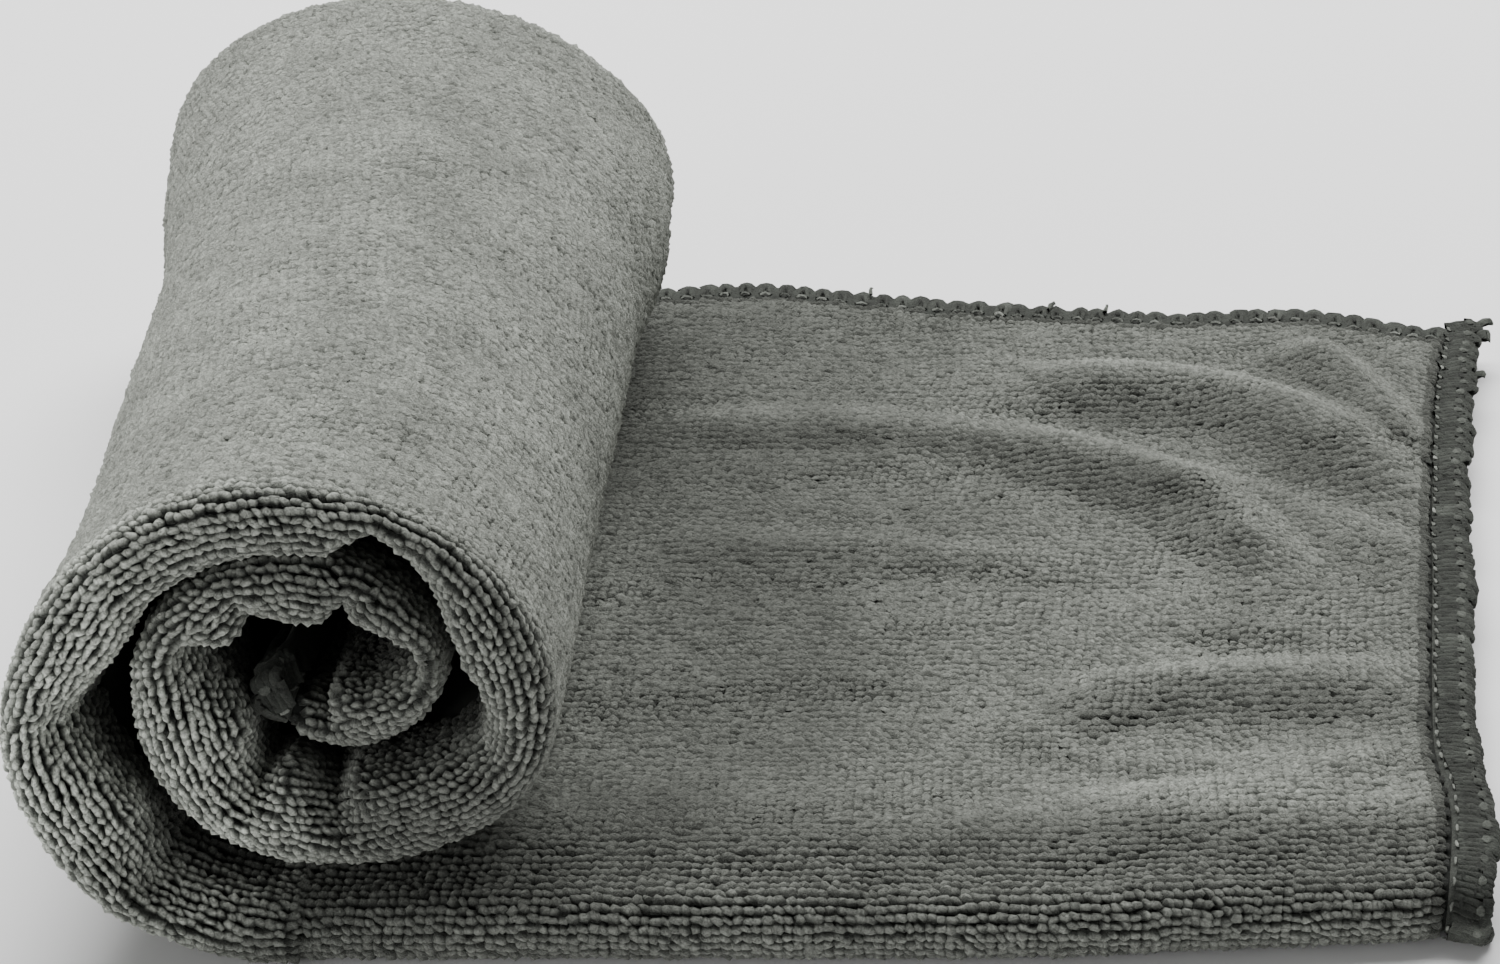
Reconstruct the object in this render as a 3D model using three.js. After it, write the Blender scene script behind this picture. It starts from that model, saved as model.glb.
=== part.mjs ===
import * as THREE from 'three';

// A small looped travel towel. It is folded once along its length, so that it is two layers
// deep with a soft bulging fold at the front, and rolled up from one short end for a little
// over two turns. The rest of it lies flat, with two long wrinkles and some low ones.
//
// Millimetres. x runs from under the roll's front end to the loose end, y from the front
// fold to the open edges at the back, z up from the surface that the towel lies on.

// cloth
const layer_thick = 3.0;
const fold_thick = 13.2;
const loose_thick = 8.2;
const pressed_thick = 12.4;
const press_reach = 34;
const fold_reach = 46;
const fold_round = 6.2;
const fold_fullness = 0.5;
const upper_fullness = 0.9;
const wound_fullness = 0.4;
const cavity_round = 3.7;
const slant = 0.2;
const slant_reach = 21;

// overlocked edging, and the gap that parts it from the cloth
const band_wide = 5.7;
const band_round = 0.8;
const seat_gap = 0.3;
const core_gap = 0.7;

// the roll: radius of its outside turn at the front, and its axis at the front and the core
const ring_radius = 37.0;
const axis_front = { x: 0, z: ring_radius };
const core_front = { x: 2.0, z: 43.0 };
const core_from = 1.0;
const core_to = 1.6;
const wound_tight = 0.15;

// the roll's back end curls in by a share of its radius, over its last stretch
const back_curl = 0.2;
const curl_reach = 12;

// how much of the roll is wound: at the front, and at the back where its turns are larger
const turns_front = 2.2;
const turns_back = 1.75;

// the middle of the box that the whole towel fills
const box_middle = { x: 76.93, y: 98.31 };

// Each row is a place along the winding, in turns from where it leaves the surface. outside
// and inside are distances from the axis to the outer and inner face of the doubled cloth at
// the front fold, and set_back is how far the fold lies behind the front of the flat part.
const winding = [
  { turn: 0.0, outside: 37.0, inside: 24.6, set_back: 1.3 },
  { turn: 0.0625, outside: 37.8, inside: 24.2, set_back: 1.5 },
  { turn: 0.125, outside: 38.9, inside: 23.4, set_back: 1.7 },
  { turn: 0.1875, outside: 38.9, inside: 24.5, set_back: 2.3 },
  { turn: 0.25, outside: 38.8, inside: 24.6, set_back: 3.1 },
  { turn: 0.3125, outside: 37.4, inside: 23.2, set_back: 3.8 },
  { turn: 0.375, outside: 36.8, inside: 25.3, set_back: 4.3 },
  { turn: 0.4375, outside: 37.1, inside: 25.9, set_back: 4.7 },
  { turn: 0.5, outside: 36.9, inside: 26.6, set_back: 4.7 },
  { turn: 0.5625, outside: 37.0, inside: 27.6, set_back: 4.7 },
  { turn: 0.625, outside: 37.2, inside: 27.8, set_back: 4.7 },
  { turn: 0.6875, outside: 37.2, inside: 25.6, set_back: 4.8 },
  { turn: 0.75, outside: 36.4, inside: 23.4, set_back: 5.2 },
  { turn: 0.8125, outside: 33.9, inside: 18.0, set_back: 5.6 },
  { turn: 0.875, outside: 29.2, inside: 12.2, set_back: 6.0 },
  { turn: 0.9375, outside: 26.0, inside: 9.2, set_back: 6.4 },
  { turn: 1.0, outside: 24.1, inside: 8.2, set_back: 6.6 },
  { turn: 1.0625, outside: 22.8, inside: 8.4, set_back: 6.6 },
  { turn: 1.125, outside: 22.4, inside: 7.0, set_back: 6.7 },
  { turn: 1.1875, outside: 22.0, inside: 6.6, set_back: 6.8 },
  { turn: 1.25, outside: 21.9, inside: 7.0, set_back: 7.0 },
  { turn: 1.3125, outside: 22.2, inside: 10.0, set_back: 7.2 },
  { turn: 1.375, outside: 21.6, inside: 10.8, set_back: 7.4 },
  { turn: 1.4375, outside: 20.0, inside: 10.8, set_back: 7.6 },
  { turn: 1.5, outside: 19.4, inside: 8.6, set_back: 7.7 },
  { turn: 1.5625, outside: 19.0, inside: 8.6, set_back: 7.9 },
  { turn: 1.625, outside: 19.0, inside: 11.0, set_back: 8.2 },
  { turn: 1.6875, outside: 19.2, inside: 12.6, set_back: 8.7 },
  { turn: 1.75, outside: 19.4, inside: 12.4, set_back: 9.0 },
  { turn: 1.8125, outside: 18.2, inside: 9.4, set_back: 9.6 },
  { turn: 1.875, outside: 16.4, inside: 5.4, set_back: 10.4 },
  { turn: 1.9375, outside: 14.8, inside: 4.6, set_back: 11.4 },
  { turn: 2.0, outside: 12.8, inside: 5.0, set_back: 12.6 },
  { turn: 2.0625, outside: 11.0, inside: 4.4, set_back: 13.8 },
  { turn: 2.125, outside: 9.6, inside: 3.2, set_back: 14.8 },
  { turn: 2.2, outside: 8.8, inside: 2.8, set_back: 15.6 },
];

// The winding at the back, on the same scale, before the roll's flare there.
const winding_back = [
  { turn: 0.0, outside: 37.0 },
  { turn: 0.25, outside: 37.0 },
  { turn: 0.375, outside: 38.8 },
  { turn: 0.5, outside: 38.1 },
  { turn: 0.625, outside: 36.9 },
  { turn: 0.75, outside: 36.6 },
  { turn: 0.875, outside: 33.2 },
  { turn: 0.9375, outside: 30.0 },
  { turn: 1.0, outside: 27.6 },
  { turn: 1.125, outside: 26.8 },
  { turn: 1.25, outside: 26.4 },
  { turn: 1.5, outside: 26.2 },
  { turn: 1.75, outside: 23.0 },
  { turn: 2.0, outside: 18.0 },
  { turn: 2.2, outside: 16.2 },
];

// The roll's body from front (0) to back (1): where its axis lies, how much wider and lower
// than at the front it is, and how far its top leans away from the loose end.
const body = [
  { along: 0.0, axis_x: 0.0, wide: 1.0, high: 1.0, lean: 0.0 },
  { along: 0.135, axis_x: 2.6, wide: 0.975, high: 0.985, lean: 0.0 },
  { along: 0.26, axis_x: 3.9, wide: 0.975, high: 0.975, lean: 0.0 },
  { along: 0.375, axis_x: 4.6, wide: 0.995, high: 0.96, lean: 0.0 },
  { along: 0.56, axis_x: 6.6, wide: 1.02, high: 0.94, lean: 0.4 },
  { along: 0.655, axis_x: 7.6, wide: 1.035, high: 0.93, lean: 0.8 },
  { along: 0.75, axis_x: 8.4, wide: 1.1, high: 0.92, lean: 1.3 },
  { along: 0.82, axis_x: 8.8, wide: 1.15, high: 0.912, lean: 1.8 },
  { along: 0.9, axis_x: 8.8, wide: 1.165, high: 0.917, lean: 2.3 },
  { along: 1.0, axis_x: 9.4, wide: 1.21, high: 0.93, lean: 2.8 },
];

// The loose short edge, from front (0) to back (1).
const loose_end = [
  { along: 0.0, x: 164.5 },
  { along: 0.1, x: 167.4 },
  { along: 0.22, x: 168.6 },
  { along: 0.32, x: 170.8 },
  { along: 0.48, x: 175.1 },
  { along: 0.66, x: 179.8 },
  { along: 0.85, x: 185.6 },
  { along: 1.0, x: 191.5 },
];

// The front fold and the open back edges of the flat part.
const front_line = [
  { x: 0, y: 2.2 },
  { x: 40, y: 2.2 },
  { x: 90, y: 2.2 },
  { x: 110, y: 2.8 },
  { x: 125, y: 4.0 },
  { x: 152, y: 5.8 },
  { x: 160, y: 7.0 },
  { x: 168, y: 6.0 },
];
const back_line = [
  { x: 6, y: 192.0 },
  { x: 30, y: 192.2 },
  { x: 44, y: 192.6 },
  { x: 53, y: 193.8 },
  { x: 64, y: 195.2 },
  { x: 86, y: 191.0 },
  { x: 107, y: 187.4 },
  { x: 125, y: 185.2 },
  { x: 143, y: 184.0 },
  { x: 160, y: 185.2 },
  { x: 174, y: 181.0 },
  { x: 183, y: 178.6 },
  { x: 192, y: 181.6 },
];

// Wrinkles of the top layer: crests through four points from left to right, each with its own
// reach to the front and to the back.
const wrinkles = [
  { x1: 106, y1: 159, x2: 132, y2: 156, x3: 153, y3: 146, x4: 169, y4: 116, high: 3.8, front: 18, back: 9 },
  { x1: 158, y1: 173, x2: 163, y2: 163, x3: 168, y3: 150, x4: 172, y4: 134, high: 3.2, front: 12, back: 6 },
  { x1: 44, y1: 143, x2: 66, y2: 142, x3: 88, y3: 141, x4: 108, y4: 135.5, high: 1.4, front: 9, back: 9 },
  { x1: 100, y1: 138, x2: 121, y2: 129, x3: 136, y3: 116, x4: 146, y4: 94, high: 3.4, front: 14, back: 9 },
  { x1: 126, y1: 127, x2: 141, y2: 120, x3: 155, y3: 110, x4: 168, y4: 98, high: 1.4, front: 12, back: 8 },
  { x1: 46, y1: 103, x2: 64, y2: 104, x3: 86, y3: 102, x4: 112, y4: 96, high: 0.7, front: 9, back: 6 },
  { x1: 106, y1: 56, x2: 122, y2: 61, x3: 142, y3: 63.5, x4: 163, y4: 64, high: 2.4, front: 14, back: 8 },
  { x1: 106, y1: 27, x2: 124, y2: 29.5, x3: 141, y3: 34, x4: 158, y4: 43, high: 1.5, front: 10, back: 7 },
];
const wrinkle_front = 14;
const wrinkle_back = 20;
const wrinkle_steps = 14;

// shares of a crest's length over which a wrinkle rises at its left end and sinks at its right
const wrinkle_rise = { from: -0.05, to: 0.25 };
const wrinkle_sink = { from: 0.8, to: 1.1 };

// steps of the mesh
const tail_steps = 17;
const steps_by_turn = [20, 16, 13];
const top_places = [0, 9, 20, 32, 45, 58, 70, 82, 94, 106, 118, 130, 142, 150, 156, 161, 166];
const under_places = [0, 10, 24, 42, 66, 92, 118, 140, 150, 156, 161, 166];
const fold_steps = 6;

const mix = (a, b, share) => a + (b - a) * share;

function soft_step(from, to, value) {
  const share = Math.min(Math.max((value - from) / (to - from), 0), 1);
  return share * share * (3 - 2 * share);
}

// A smooth curve through one column of a table, read at a value of its key column.
function read(rows, key, column, value) {
  const last = rows.length - 1;
  const at = Math.min(Math.max(value, rows[0][key]), rows[last][key]);
  let low = 0;
  while (low < last - 1 && rows[low + 1][key] <= at) low += 1;
  const slope = (index) => {
    const before = rows[Math.max(index - 1, 0)];
    const after = rows[Math.min(index + 1, last)];
    return (after[column] - before[column]) / (after[key] - before[key]);
  };
  const span = rows[low + 1][key] - rows[low][key];
  const rise = rows[low + 1][column] - rows[low][column];
  const t = (at - rows[low][key]) / span;
  const bend_low = slope(low) * span - rise;
  const bend_high = rise - slope(low + 1) * span;
  return rows[low][column] + rise * t + t * (1 - t) * (bend_low * (1 - t) + bend_high * t);
}

const axis_at = (along) => read(body, 'along', 'axis_x', along);
const wide_at = (along) => read(body, 'along', 'wide', along);
const high_at = (along) => read(body, 'along', 'high', along);

// The fold's upper side slants down to the front, by less where the cloth is wound tight.
function slanted(depth, tight) {
  return 1 - slant * (1 - tight) * (1 - soft_step(fold_round, slant_reach, depth));
}

// The point of a wrinkle's crest at a share of its length, on a smooth curve through its four.
function crest_point(row, t) {
  const first = (1 - 3 * t) * (2 - 3 * t) * (1 - t) / 2;
  const second = 9 * t * (2 - 3 * t) * (1 - t) / 2;
  const third = 9 * t * (3 * t - 1) * (1 - t) / 2;
  const fourth = t * (3 * t - 1) * (3 * t - 2) / 2;
  const x = row.x1 * first + row.x2 * second + row.x3 * third + row.x4 * fourth;
  const y = row.y1 * first + row.y2 * second + row.y3 * third + row.y4 * fourth;
  return { x, y };
}

// The height that the wrinkles add to the top layer of the flat part.
function wrinkle_height(x, y) {
  let height = 0;
  for (const row of wrinkles) {
    let nearest = { distance: Infinity };
    for (let step = 0; step <= wrinkle_steps; step += 1) {
      const share = step / wrinkle_steps;
      const crest = crest_point(row, share);
      const ahead = crest_point(row, share + 0.01);
      const distance = Math.hypot(x - crest.x, y - crest.y);
      const side = (ahead.x - crest.x) * (y - crest.y) - (ahead.y - crest.y) * (x - crest.x);
      if (distance < nearest.distance) nearest = { distance, share, side };
    }
    const reach = nearest.side < 0 ? row.front : row.back;
    const ends = soft_step(wrinkle_rise.from, wrinkle_rise.to, nearest.share)
      * soft_step(wrinkle_sink.to, wrinkle_sink.from, nearest.share);
    height += row.high * ends * (1 - soft_step(0, reach, nearest.distance));
  }
  return height;
}

// A section across the flat part, at a share of the way from the loose end to the roll. A
// place in it is y and the height over the towel's underside.
function tail_station(share, from_end) {
  const place_x = (along) => {
    const end_x = read(loose_end, 'along', 'x', along) - from_end;
    return mix(end_x, axis_at(along), share);
  };
  const front = read(front_line, 'x', 'y', place_x(0));
  const back = read(back_line, 'x', 'y', place_x(1));
  const along_at = (y) => (y - front) / (back - front);
  const pressed = soft_step(press_reach, 0, place_x(0));
  const fold = mix(fold_thick, pressed_thick, pressed);
  const thick = (y) => {
    const along = along_at(y);
    const loose = loose_thick * mix(1, high_at(along), pressed);
    const bulge = soft_step(fold_reach, fold_round, y - front);
    const inner = soft_step(0, wrinkle_front, y - front) * soft_step(0, wrinkle_back, back - y);
    const smooth = mix(loose, fold, bulge) * slanted(y - front, 0);
    return smooth + wrinkle_height(place_x(along), y) * inner;
  };
  const place = (y, height) => [place_x(along_at(y)), y, height];
  return { front, back, thick, place, upper: upper_fullness };
}

// The outer radius of the winding, from its front (0) to its back (1).
function outside_at(turn, along) {
  const at_front = read(winding, 'turn', 'outside', turn);
  return mix(at_front, read(winding_back, 'turn', 'outside', turn), along);
}

// A section across the winding, at a share of its turns. The height is measured inwards
// from the outer face.
function roll_station(share, from_end) {
  const turn_at = (along) => {
    const whole = mix(turns_front, turns_back, along);
    const radius = outside_at(whole, along) - layer_thick;
    return (whole - from_end / (2 * Math.PI * radius)) * share;
  };
  const front_turn = turn_at(0);
  const front = read(winding, 'turn', 'set_back', front_turn);
  const back = back_line[0].y;
  const front_thick = outside_at(front_turn, 0) - read(winding, 'turn', 'inside', front_turn);
  const tight = soft_step(0, wound_tight, front_turn);
  const thick = (y) => {
    const bulge = soft_step(fold_reach, fold_round, y - front);
    return mix(loose_thick, front_thick, bulge) * slanted(y - front, tight);
  };
  const place = (y, height) => {
    const along = (y - front) / (back - front);
    const turn = turn_at(along);
    const core = soft_step(core_from, core_to, turn) * (1 - along);
    const axis_x = axis_at(along) + (core_front.x - axis_front.x) * core;
    const lean = read(body, 'along', 'lean', along);
    const axis_z = (axis_front.z + (core_front.z - axis_front.z) * core) * high_at(along);
    const curl = back_curl * soft_step(curl_reach, 0, back - y) * soft_step(0, wound_tight, turn);
    const radius = (outside_at(turn, along) - height) * (1 - curl);
    const angle = 2 * Math.PI * turn;
    const upward = -Math.cos(angle) * radius / ring_radius;
    const x = axis_x - radius * Math.sin(angle) * wide_at(along) - lean * (1 + upward);
    const z = axis_z - radius * Math.cos(angle) * high_at(along);
    return [x, y, z];
  };
  const upper = mix(upper_fullness, wound_fullness, tight);
  return { front, back, thick, place, upper };
}

// Every section of the cloth, from the edging of the loose end to that of the inner end.
function cloth_stations() {
  const from_loose = band_wide + seat_gap;
  const from_inner = band_wide + core_gap;
  const stations = [];
  for (let step = 0; step <= tail_steps; step += 1) {
    stations.push(tail_station(step / tail_steps, from_loose));
  }
  steps_by_turn.forEach((steps, whole) => {
    for (let step = 1; step <= steps; step += 1) {
      const turn = whole + step / steps;
      if (turn < turns_front - 0.5 / steps) {
        stations.push(roll_station(turn / turns_front, from_inner));
      }
    }
  });
  return [...stations, roll_station(1, from_inner)];
}

const spread = (places, from, to) => places.map((at) => mix(from, to, at / places.at(-1)));

// A half round from a low height to a high one, bulging towards the front. Its upper side is
// as full as given.
function half_round(front, depth, low, high, upper) {
  const points = [];
  for (let step = 1; step < fold_steps; step += 1) {
    const angle = Math.PI * step / fold_steps;
    const fullness = angle < Math.PI / 2 ? fold_fullness : upper;
    const y = front + depth * (1 - Math.sin(angle) ** fullness);
    points.push([y, mix(low, high, (1 - Math.cos(angle)) / 2)]);
  }
  return points;
}

// The section of both layers and the fold between them, open at the back, as a closed list
// of [y, height]. The first half of the list is the outside, the other half the cavity.
function folded_section(station, back, pinch) {
  const { front, thick, upper } = station;
  const outer = front + fold_round;
  const inner = front + layer_thick + cavity_round;
  const low = layer_thick - pinch;
  const ceiling = (y) => thick(y) - layer_thick + pinch;
  return [
    ...spread(under_places, outer, back).reverse().map((y) => [y, pinch]),
    ...half_round(front + pinch, fold_round - pinch, pinch, thick(outer) - pinch, upper),
    ...spread(top_places, outer, back).map((y) => [y, thick(y) - pinch]),
    ...spread(top_places, inner, back).reverse().map((y) => [y, ceiling(y)]),
    ...half_round(inner - cavity_round - pinch, cavity_round + pinch, low, ceiling(inner), upper)
      .reverse(),
    ...spread(under_places, inner, back).map((y) => [y, low]),
  ];
}

// The section of the edging on one open edge, between two heights over the outer face.
function edging_section(station, low, high) {
  const outer = station.back;
  const inner = outer - band_wide;
  const shoulder = outer - band_round;
  return [
    [outer, low(outer) + band_round],
    [shoulder, low(shoulder)],
    [inner, low(inner)],
    [inner, high(inner)],
    [shoulder, high(shoulder)],
    [outer, high(outer) - band_round],
  ];
}

// A solid through sections of equally many points, in which each point of the first half
// has its partner across the material in the other half.
function solid(stations, section_of) {
  const sections = stations.map((station, index) => section_of(station, index)
    .map(([y, height]) => station.place(y, height)));
  const count = sections[0].length;
  const last = (sections.length - 1) * count;
  const faces = [];
  const quad = (a, b, c, d) => faces.push(a, b, c, a, c, d);
  for (let row = 0; row < sections.length - 1; row += 1) {
    for (let column = 0; column < count; column += 1) {
      const a = row * count + column;
      const b = row * count + (column + 1) % count;
      quad(a, b, b + count, a + count);
    }
  }
  for (let column = 0; column < count / 2 - 1; column += 1) {
    const across = count - 1 - column;
    quad(column, across, across - 1, column + 1);
    quad(last + column, last + column + 1, last + across - 1, last + across);
  }
  const geometry = new THREE.BufferGeometry();
  geometry.setAttribute('position', new THREE.Float32BufferAttribute(sections.flat(2), 3));
  geometry.setIndex(faces);
  geometry.computeVertexNormals();
  return geometry;
}

// Both layers of looped cloth, with their fold.
function make_cloth() {
  const hidden = band_wide + seat_gap;
  return solid(cloth_stations(), (station) => folded_section(station, station.back - hidden, 0));
}

// The edging across a short end, round both layers and the fold, thinned at its outer rim.
function make_end_edging(station_at) {
  const steps = [0, band_round, band_wide];
  const pinches = [band_round, 0, 0];
  return solid(steps.map(station_at), (station, index) => (
    folded_section(station, station.back, pinches[index])));
}

// The edging across the inner short end, in the other order, so that it faces outwards too.
function make_start_edging() {
  const steps = [band_wide, band_round, 0];
  const pinches = [0, 0, band_round];
  return solid(steps.map((from_end) => roll_station(1, from_end)), (station, index) => (
    folded_section(station, station.back, pinches[index])));
}

// The edging along the open back edge of the under layer and of the top layer.
function make_under_edging() {
  return solid(cloth_stations(), (station) => (
    edging_section(station, () => 0, () => layer_thick)));
}

function make_top_edging() {
  return solid(cloth_stations(), (station) => (
    edging_section(station, (y) => station.thick(y) - layer_thick, station.thick)));
}

const looped_cloth = new THREE.MeshStandardMaterial({
  name: 'looped_cloth', color: 0x7d827c, roughness: 0.95, metalness: 0,
});
const edging_yarn = new THREE.MeshStandardMaterial({
  name: 'edging_yarn', color: 0x4a4e4b, roughness: 0.85, metalness: 0,
});

const towel = new THREE.Group();

function add(name, geometry, material) {
  const mesh = new THREE.Mesh(geometry, material);
  mesh.name = name;
  mesh.position.set(-box_middle.x, -box_middle.y, 0);
  towel.add(mesh);
}

add('towel_cloth', make_cloth(), looped_cloth);
add('end_edging', make_end_edging((from_end) => tail_station(0, from_end)), edging_yarn);
add('start_edging', make_start_edging(), edging_yarn);
add('side_edging_under', make_under_edging(), edging_yarn);
add('side_edging_top', make_top_edging(), edging_yarn);

export default towel;
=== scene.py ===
# %% [markdown]
# # A rolled travel towel
#
# A small grey-green looped towel. It is folded once along its length, rolled from one short end
# for a little over two turns, and otherwise lies flat. The cells below build its cloth, its
# pile of loops and its overlocked edges round the fixed part.

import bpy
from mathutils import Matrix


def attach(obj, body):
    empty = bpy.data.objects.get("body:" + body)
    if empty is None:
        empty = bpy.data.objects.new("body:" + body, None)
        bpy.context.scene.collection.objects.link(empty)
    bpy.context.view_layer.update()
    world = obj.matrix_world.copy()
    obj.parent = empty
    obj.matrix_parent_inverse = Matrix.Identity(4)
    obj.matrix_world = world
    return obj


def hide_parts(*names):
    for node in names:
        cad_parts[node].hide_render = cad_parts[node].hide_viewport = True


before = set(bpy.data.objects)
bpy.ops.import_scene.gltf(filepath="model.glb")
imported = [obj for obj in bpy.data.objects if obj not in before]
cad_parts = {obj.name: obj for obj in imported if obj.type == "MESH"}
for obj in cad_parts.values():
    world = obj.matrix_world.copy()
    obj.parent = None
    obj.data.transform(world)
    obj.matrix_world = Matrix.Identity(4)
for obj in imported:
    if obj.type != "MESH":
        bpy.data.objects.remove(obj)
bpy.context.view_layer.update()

# %% Modules and units
import math
from functools import partial

import bpy
import numpy as np

MM = 0.001


def new_object(name, data):
    """A new object in the scene, at the origin and unturned."""
    made = bpy.data.objects.new(name, data)
    bpy.context.scene.collection.objects.link(made)
    return made


# %% [markdown]
# ## The camera
#
# The photograph looks 30 degrees down on the towel from the front. Its lens is worked out from
# how much smaller the far end of the roll looks than the near end.

# %% Camera
CAMERA_PLACE = (-14.43, -520.61, 322.95)
CAMERA_DOWN = 30.0
LENS = 92.37

camera_data = bpy.data.cameras.new("camera")
camera_data.lens = LENS
camera_data.sensor_width = 36.0
camera = new_object("camera", camera_data)
camera.location = [v * MM for v in CAMERA_PLACE]
camera.rotation_euler = (math.radians(90.0 - CAMERA_DOWN), 0.0, 0.0)
bpy.context.scene.camera = camera
print("camera at", tuple(round(v, 3) for v in camera.location))

# %% [markdown]
# ## Tables and smooth curves
#
# Cloth has no straight lines or arcs to measure, so most of its sizes stand in short tables with
# named columns. A smooth curve runs through each column, so a row can be changed without leaving
# a kink.

# %% Tables and curves
def table(heading, rows):
    """Rows of numbers as named columns."""
    return dict(zip(heading.split(), np.array(rows, float).T))


def curve(rows, key, column, at):
    """A smooth curve through one column of a table, read along its key column."""
    x = rows[key]
    y = rows[column]
    at = np.clip(at, x[0], x[-1])
    low = np.clip(np.searchsorted(x, at, side="right") - 1, 0, len(x) - 2)
    before = np.clip(np.arange(len(x)) - 1, 0, None)
    after = np.clip(np.arange(len(x)) + 1, None, len(x) - 1)
    slope = (y[after] - y[before]) / (x[after] - x[before])
    span = x[low + 1] - x[low]
    rise = y[low + 1] - y[low]
    t = (at - x[low]) / span
    bend_low = slope[low] * span - rise
    bend_high = rise - slope[low + 1] * span
    return y[low] + rise * t + t * (1 - t) * (bend_low * (1 - t) + bend_high * t)


def mix(a, b, share):
    return a + (b - a) * share


def soft_step(start, end, value):
    """Rises smoothly from 0 at the start to 1 at the end."""
    share = np.clip((value - start) / (end - start), 0.0, 1.0)
    return share * share * (3 - 2 * share)


# %% [markdown]
# ## The winding
#
# The towel was rolled from its short end, so the cloth leaves the surface under the roll, goes
# up its left side, over the top and inwards. The tables give the doubled cloth's outer and
# inner face at the front fold, how far that fold lies back, and how the roll changes towards
# its back end. A plane bent along a spiral would be quicker, but a hand-rolled towel is never
# round. The sizes are the fixed part's own, in millimetres.

# %% Sizes of the doubled cloth
LAYER = 3.0
FOLD_THICK = 13.2
LOOSE_THICK = 8.2
PRESSED_THICK = 12.4
PRESS_REACH = 34.0
FOLD_REACH = 46.0
FOLD_ROUND = 6.2
FOLD_FULLNESS = 0.5
UPPER_FULLNESS = 0.9
WOUND_FULLNESS = 0.4
CAVITY_ROUND = 3.7
SLANT = 0.2
SLANT_REACH = 21.0
RING_RADIUS = 37.0
CORE_FRONT_X = 2.0
CORE_FRONT_Z = 43.0
CORE_FROM = 1.0
CORE_TO = 1.6
WOUND_TIGHT = 0.15
BACK_CURL = 0.2
CURL_REACH = 12.0
TURNS_FRONT = 2.2
TURNS_BACK = 1.75
BOX_MIDDLE = (76.93, 98.31)
print("turns at the front and at the back:", TURNS_FRONT, TURNS_BACK)

# %% Winding tables
WINDING = table("turn outside inside set_back", [
    (0.0, 37.0, 24.6, 1.3),
    (0.0625, 37.8, 24.2, 1.5),
    (0.125, 38.9, 23.4, 1.7),
    (0.1875, 38.9, 24.5, 2.3),
    (0.25, 38.8, 24.6, 3.1),
    (0.3125, 37.4, 23.2, 3.8),
    (0.375, 36.8, 25.3, 4.3),
    (0.4375, 37.1, 25.9, 4.7),
    (0.5, 36.9, 26.6, 4.7),
    (0.5625, 37.0, 27.6, 4.7),
    (0.625, 37.2, 27.8, 4.7),
    (0.6875, 37.2, 25.6, 4.8),
    (0.75, 36.4, 23.4, 5.2),
    (0.8125, 33.9, 18.0, 5.6),
    (0.875, 29.2, 12.2, 6.0),
    (0.9375, 26.0, 9.2, 6.4),
    (1.0, 24.1, 8.2, 6.6),
    (1.0625, 22.8, 8.4, 6.6),
    (1.125, 22.4, 7.0, 6.7),
    (1.1875, 22.0, 6.6, 6.8),
    (1.25, 21.9, 7.0, 7.0),
    (1.3125, 22.2, 10.0, 7.2),
    (1.375, 21.6, 10.8, 7.4),
    (1.4375, 20.0, 10.8, 7.6),
    (1.5, 19.4, 8.6, 7.7),
    (1.5625, 19.0, 8.6, 7.9),
    (1.625, 19.0, 11.0, 8.2),
    (1.6875, 19.2, 12.6, 8.7),
    (1.75, 19.4, 12.4, 9.0),
    (1.8125, 18.2, 9.4, 9.6),
    (1.875, 16.4, 5.4, 10.4),
    (1.9375, 14.8, 4.6, 11.4),
    (2.0, 12.8, 5.0, 12.6),
    (2.0625, 11.0, 4.4, 13.8),
    (2.125, 9.6, 3.2, 14.8),
    (2.2, 8.8, 2.8, 15.6),
])
WINDING_BACK = table("turn outside", [
    (0.0, 37.0),
    (0.25, 37.0),
    (0.375, 38.8),
    (0.5, 38.1),
    (0.625, 36.9),
    (0.75, 36.6),
    (0.875, 33.2),
    (0.9375, 30.0),
    (1.0, 27.6),
    (1.125, 26.8),
    (1.25, 26.4),
    (1.5, 26.2),
    (1.75, 23.0),
    (2.0, 18.0),
    (2.2, 16.2),
])
BODY = table("along axis_x wide high lean", [
    (0.0, 0.0, 1.0, 1.0, 0.0),
    (0.135, 2.6, 0.975, 0.985, 0.0),
    (0.26, 3.9, 0.975, 0.975, 0.0),
    (0.375, 4.6, 0.995, 0.96, 0.0),
    (0.56, 6.6, 1.02, 0.94, 0.4),
    (0.655, 7.6, 1.035, 0.93, 0.8),
    (0.75, 8.4, 1.1, 0.92, 1.3),
    (0.82, 8.8, 1.15, 0.912, 1.8),
    (0.9, 8.8, 1.165, 0.917, 2.3),
    (1.0, 9.4, 1.21, 0.93, 2.8),
])
LOOSE_END = table("along x", [
    (0.0, 164.5),
    (0.1, 167.4),
    (0.22, 168.6),
    (0.32, 170.8),
    (0.48, 175.1),
    (0.66, 179.8),
    (0.85, 185.6),
    (1.0, 191.5),
])
FRONT_LINE = table("x y", [
    (0.0, 2.2),
    (40.0, 2.2),
    (90.0, 2.2),
    (110.0, 2.8),
    (125.0, 4.0),
    (152.0, 5.8),
    (160.0, 7.0),
    (168.0, 6.0),
])
BACK_LINE = table("x y", [
    (6.0, 192.0),
    (30.0, 192.2),
    (44.0, 192.6),
    (53.0, 193.8),
    (64.0, 195.2),
    (86.0, 191.0),
    (107.0, 187.4),
    (125.0, 185.2),
    (143.0, 184.0),
    (160.0, 185.2),
    (174.0, 181.0),
    (183.0, 178.6),
    (192.0, 181.6),
])
print("winding rows:", len(WINDING["turn"]))

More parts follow.
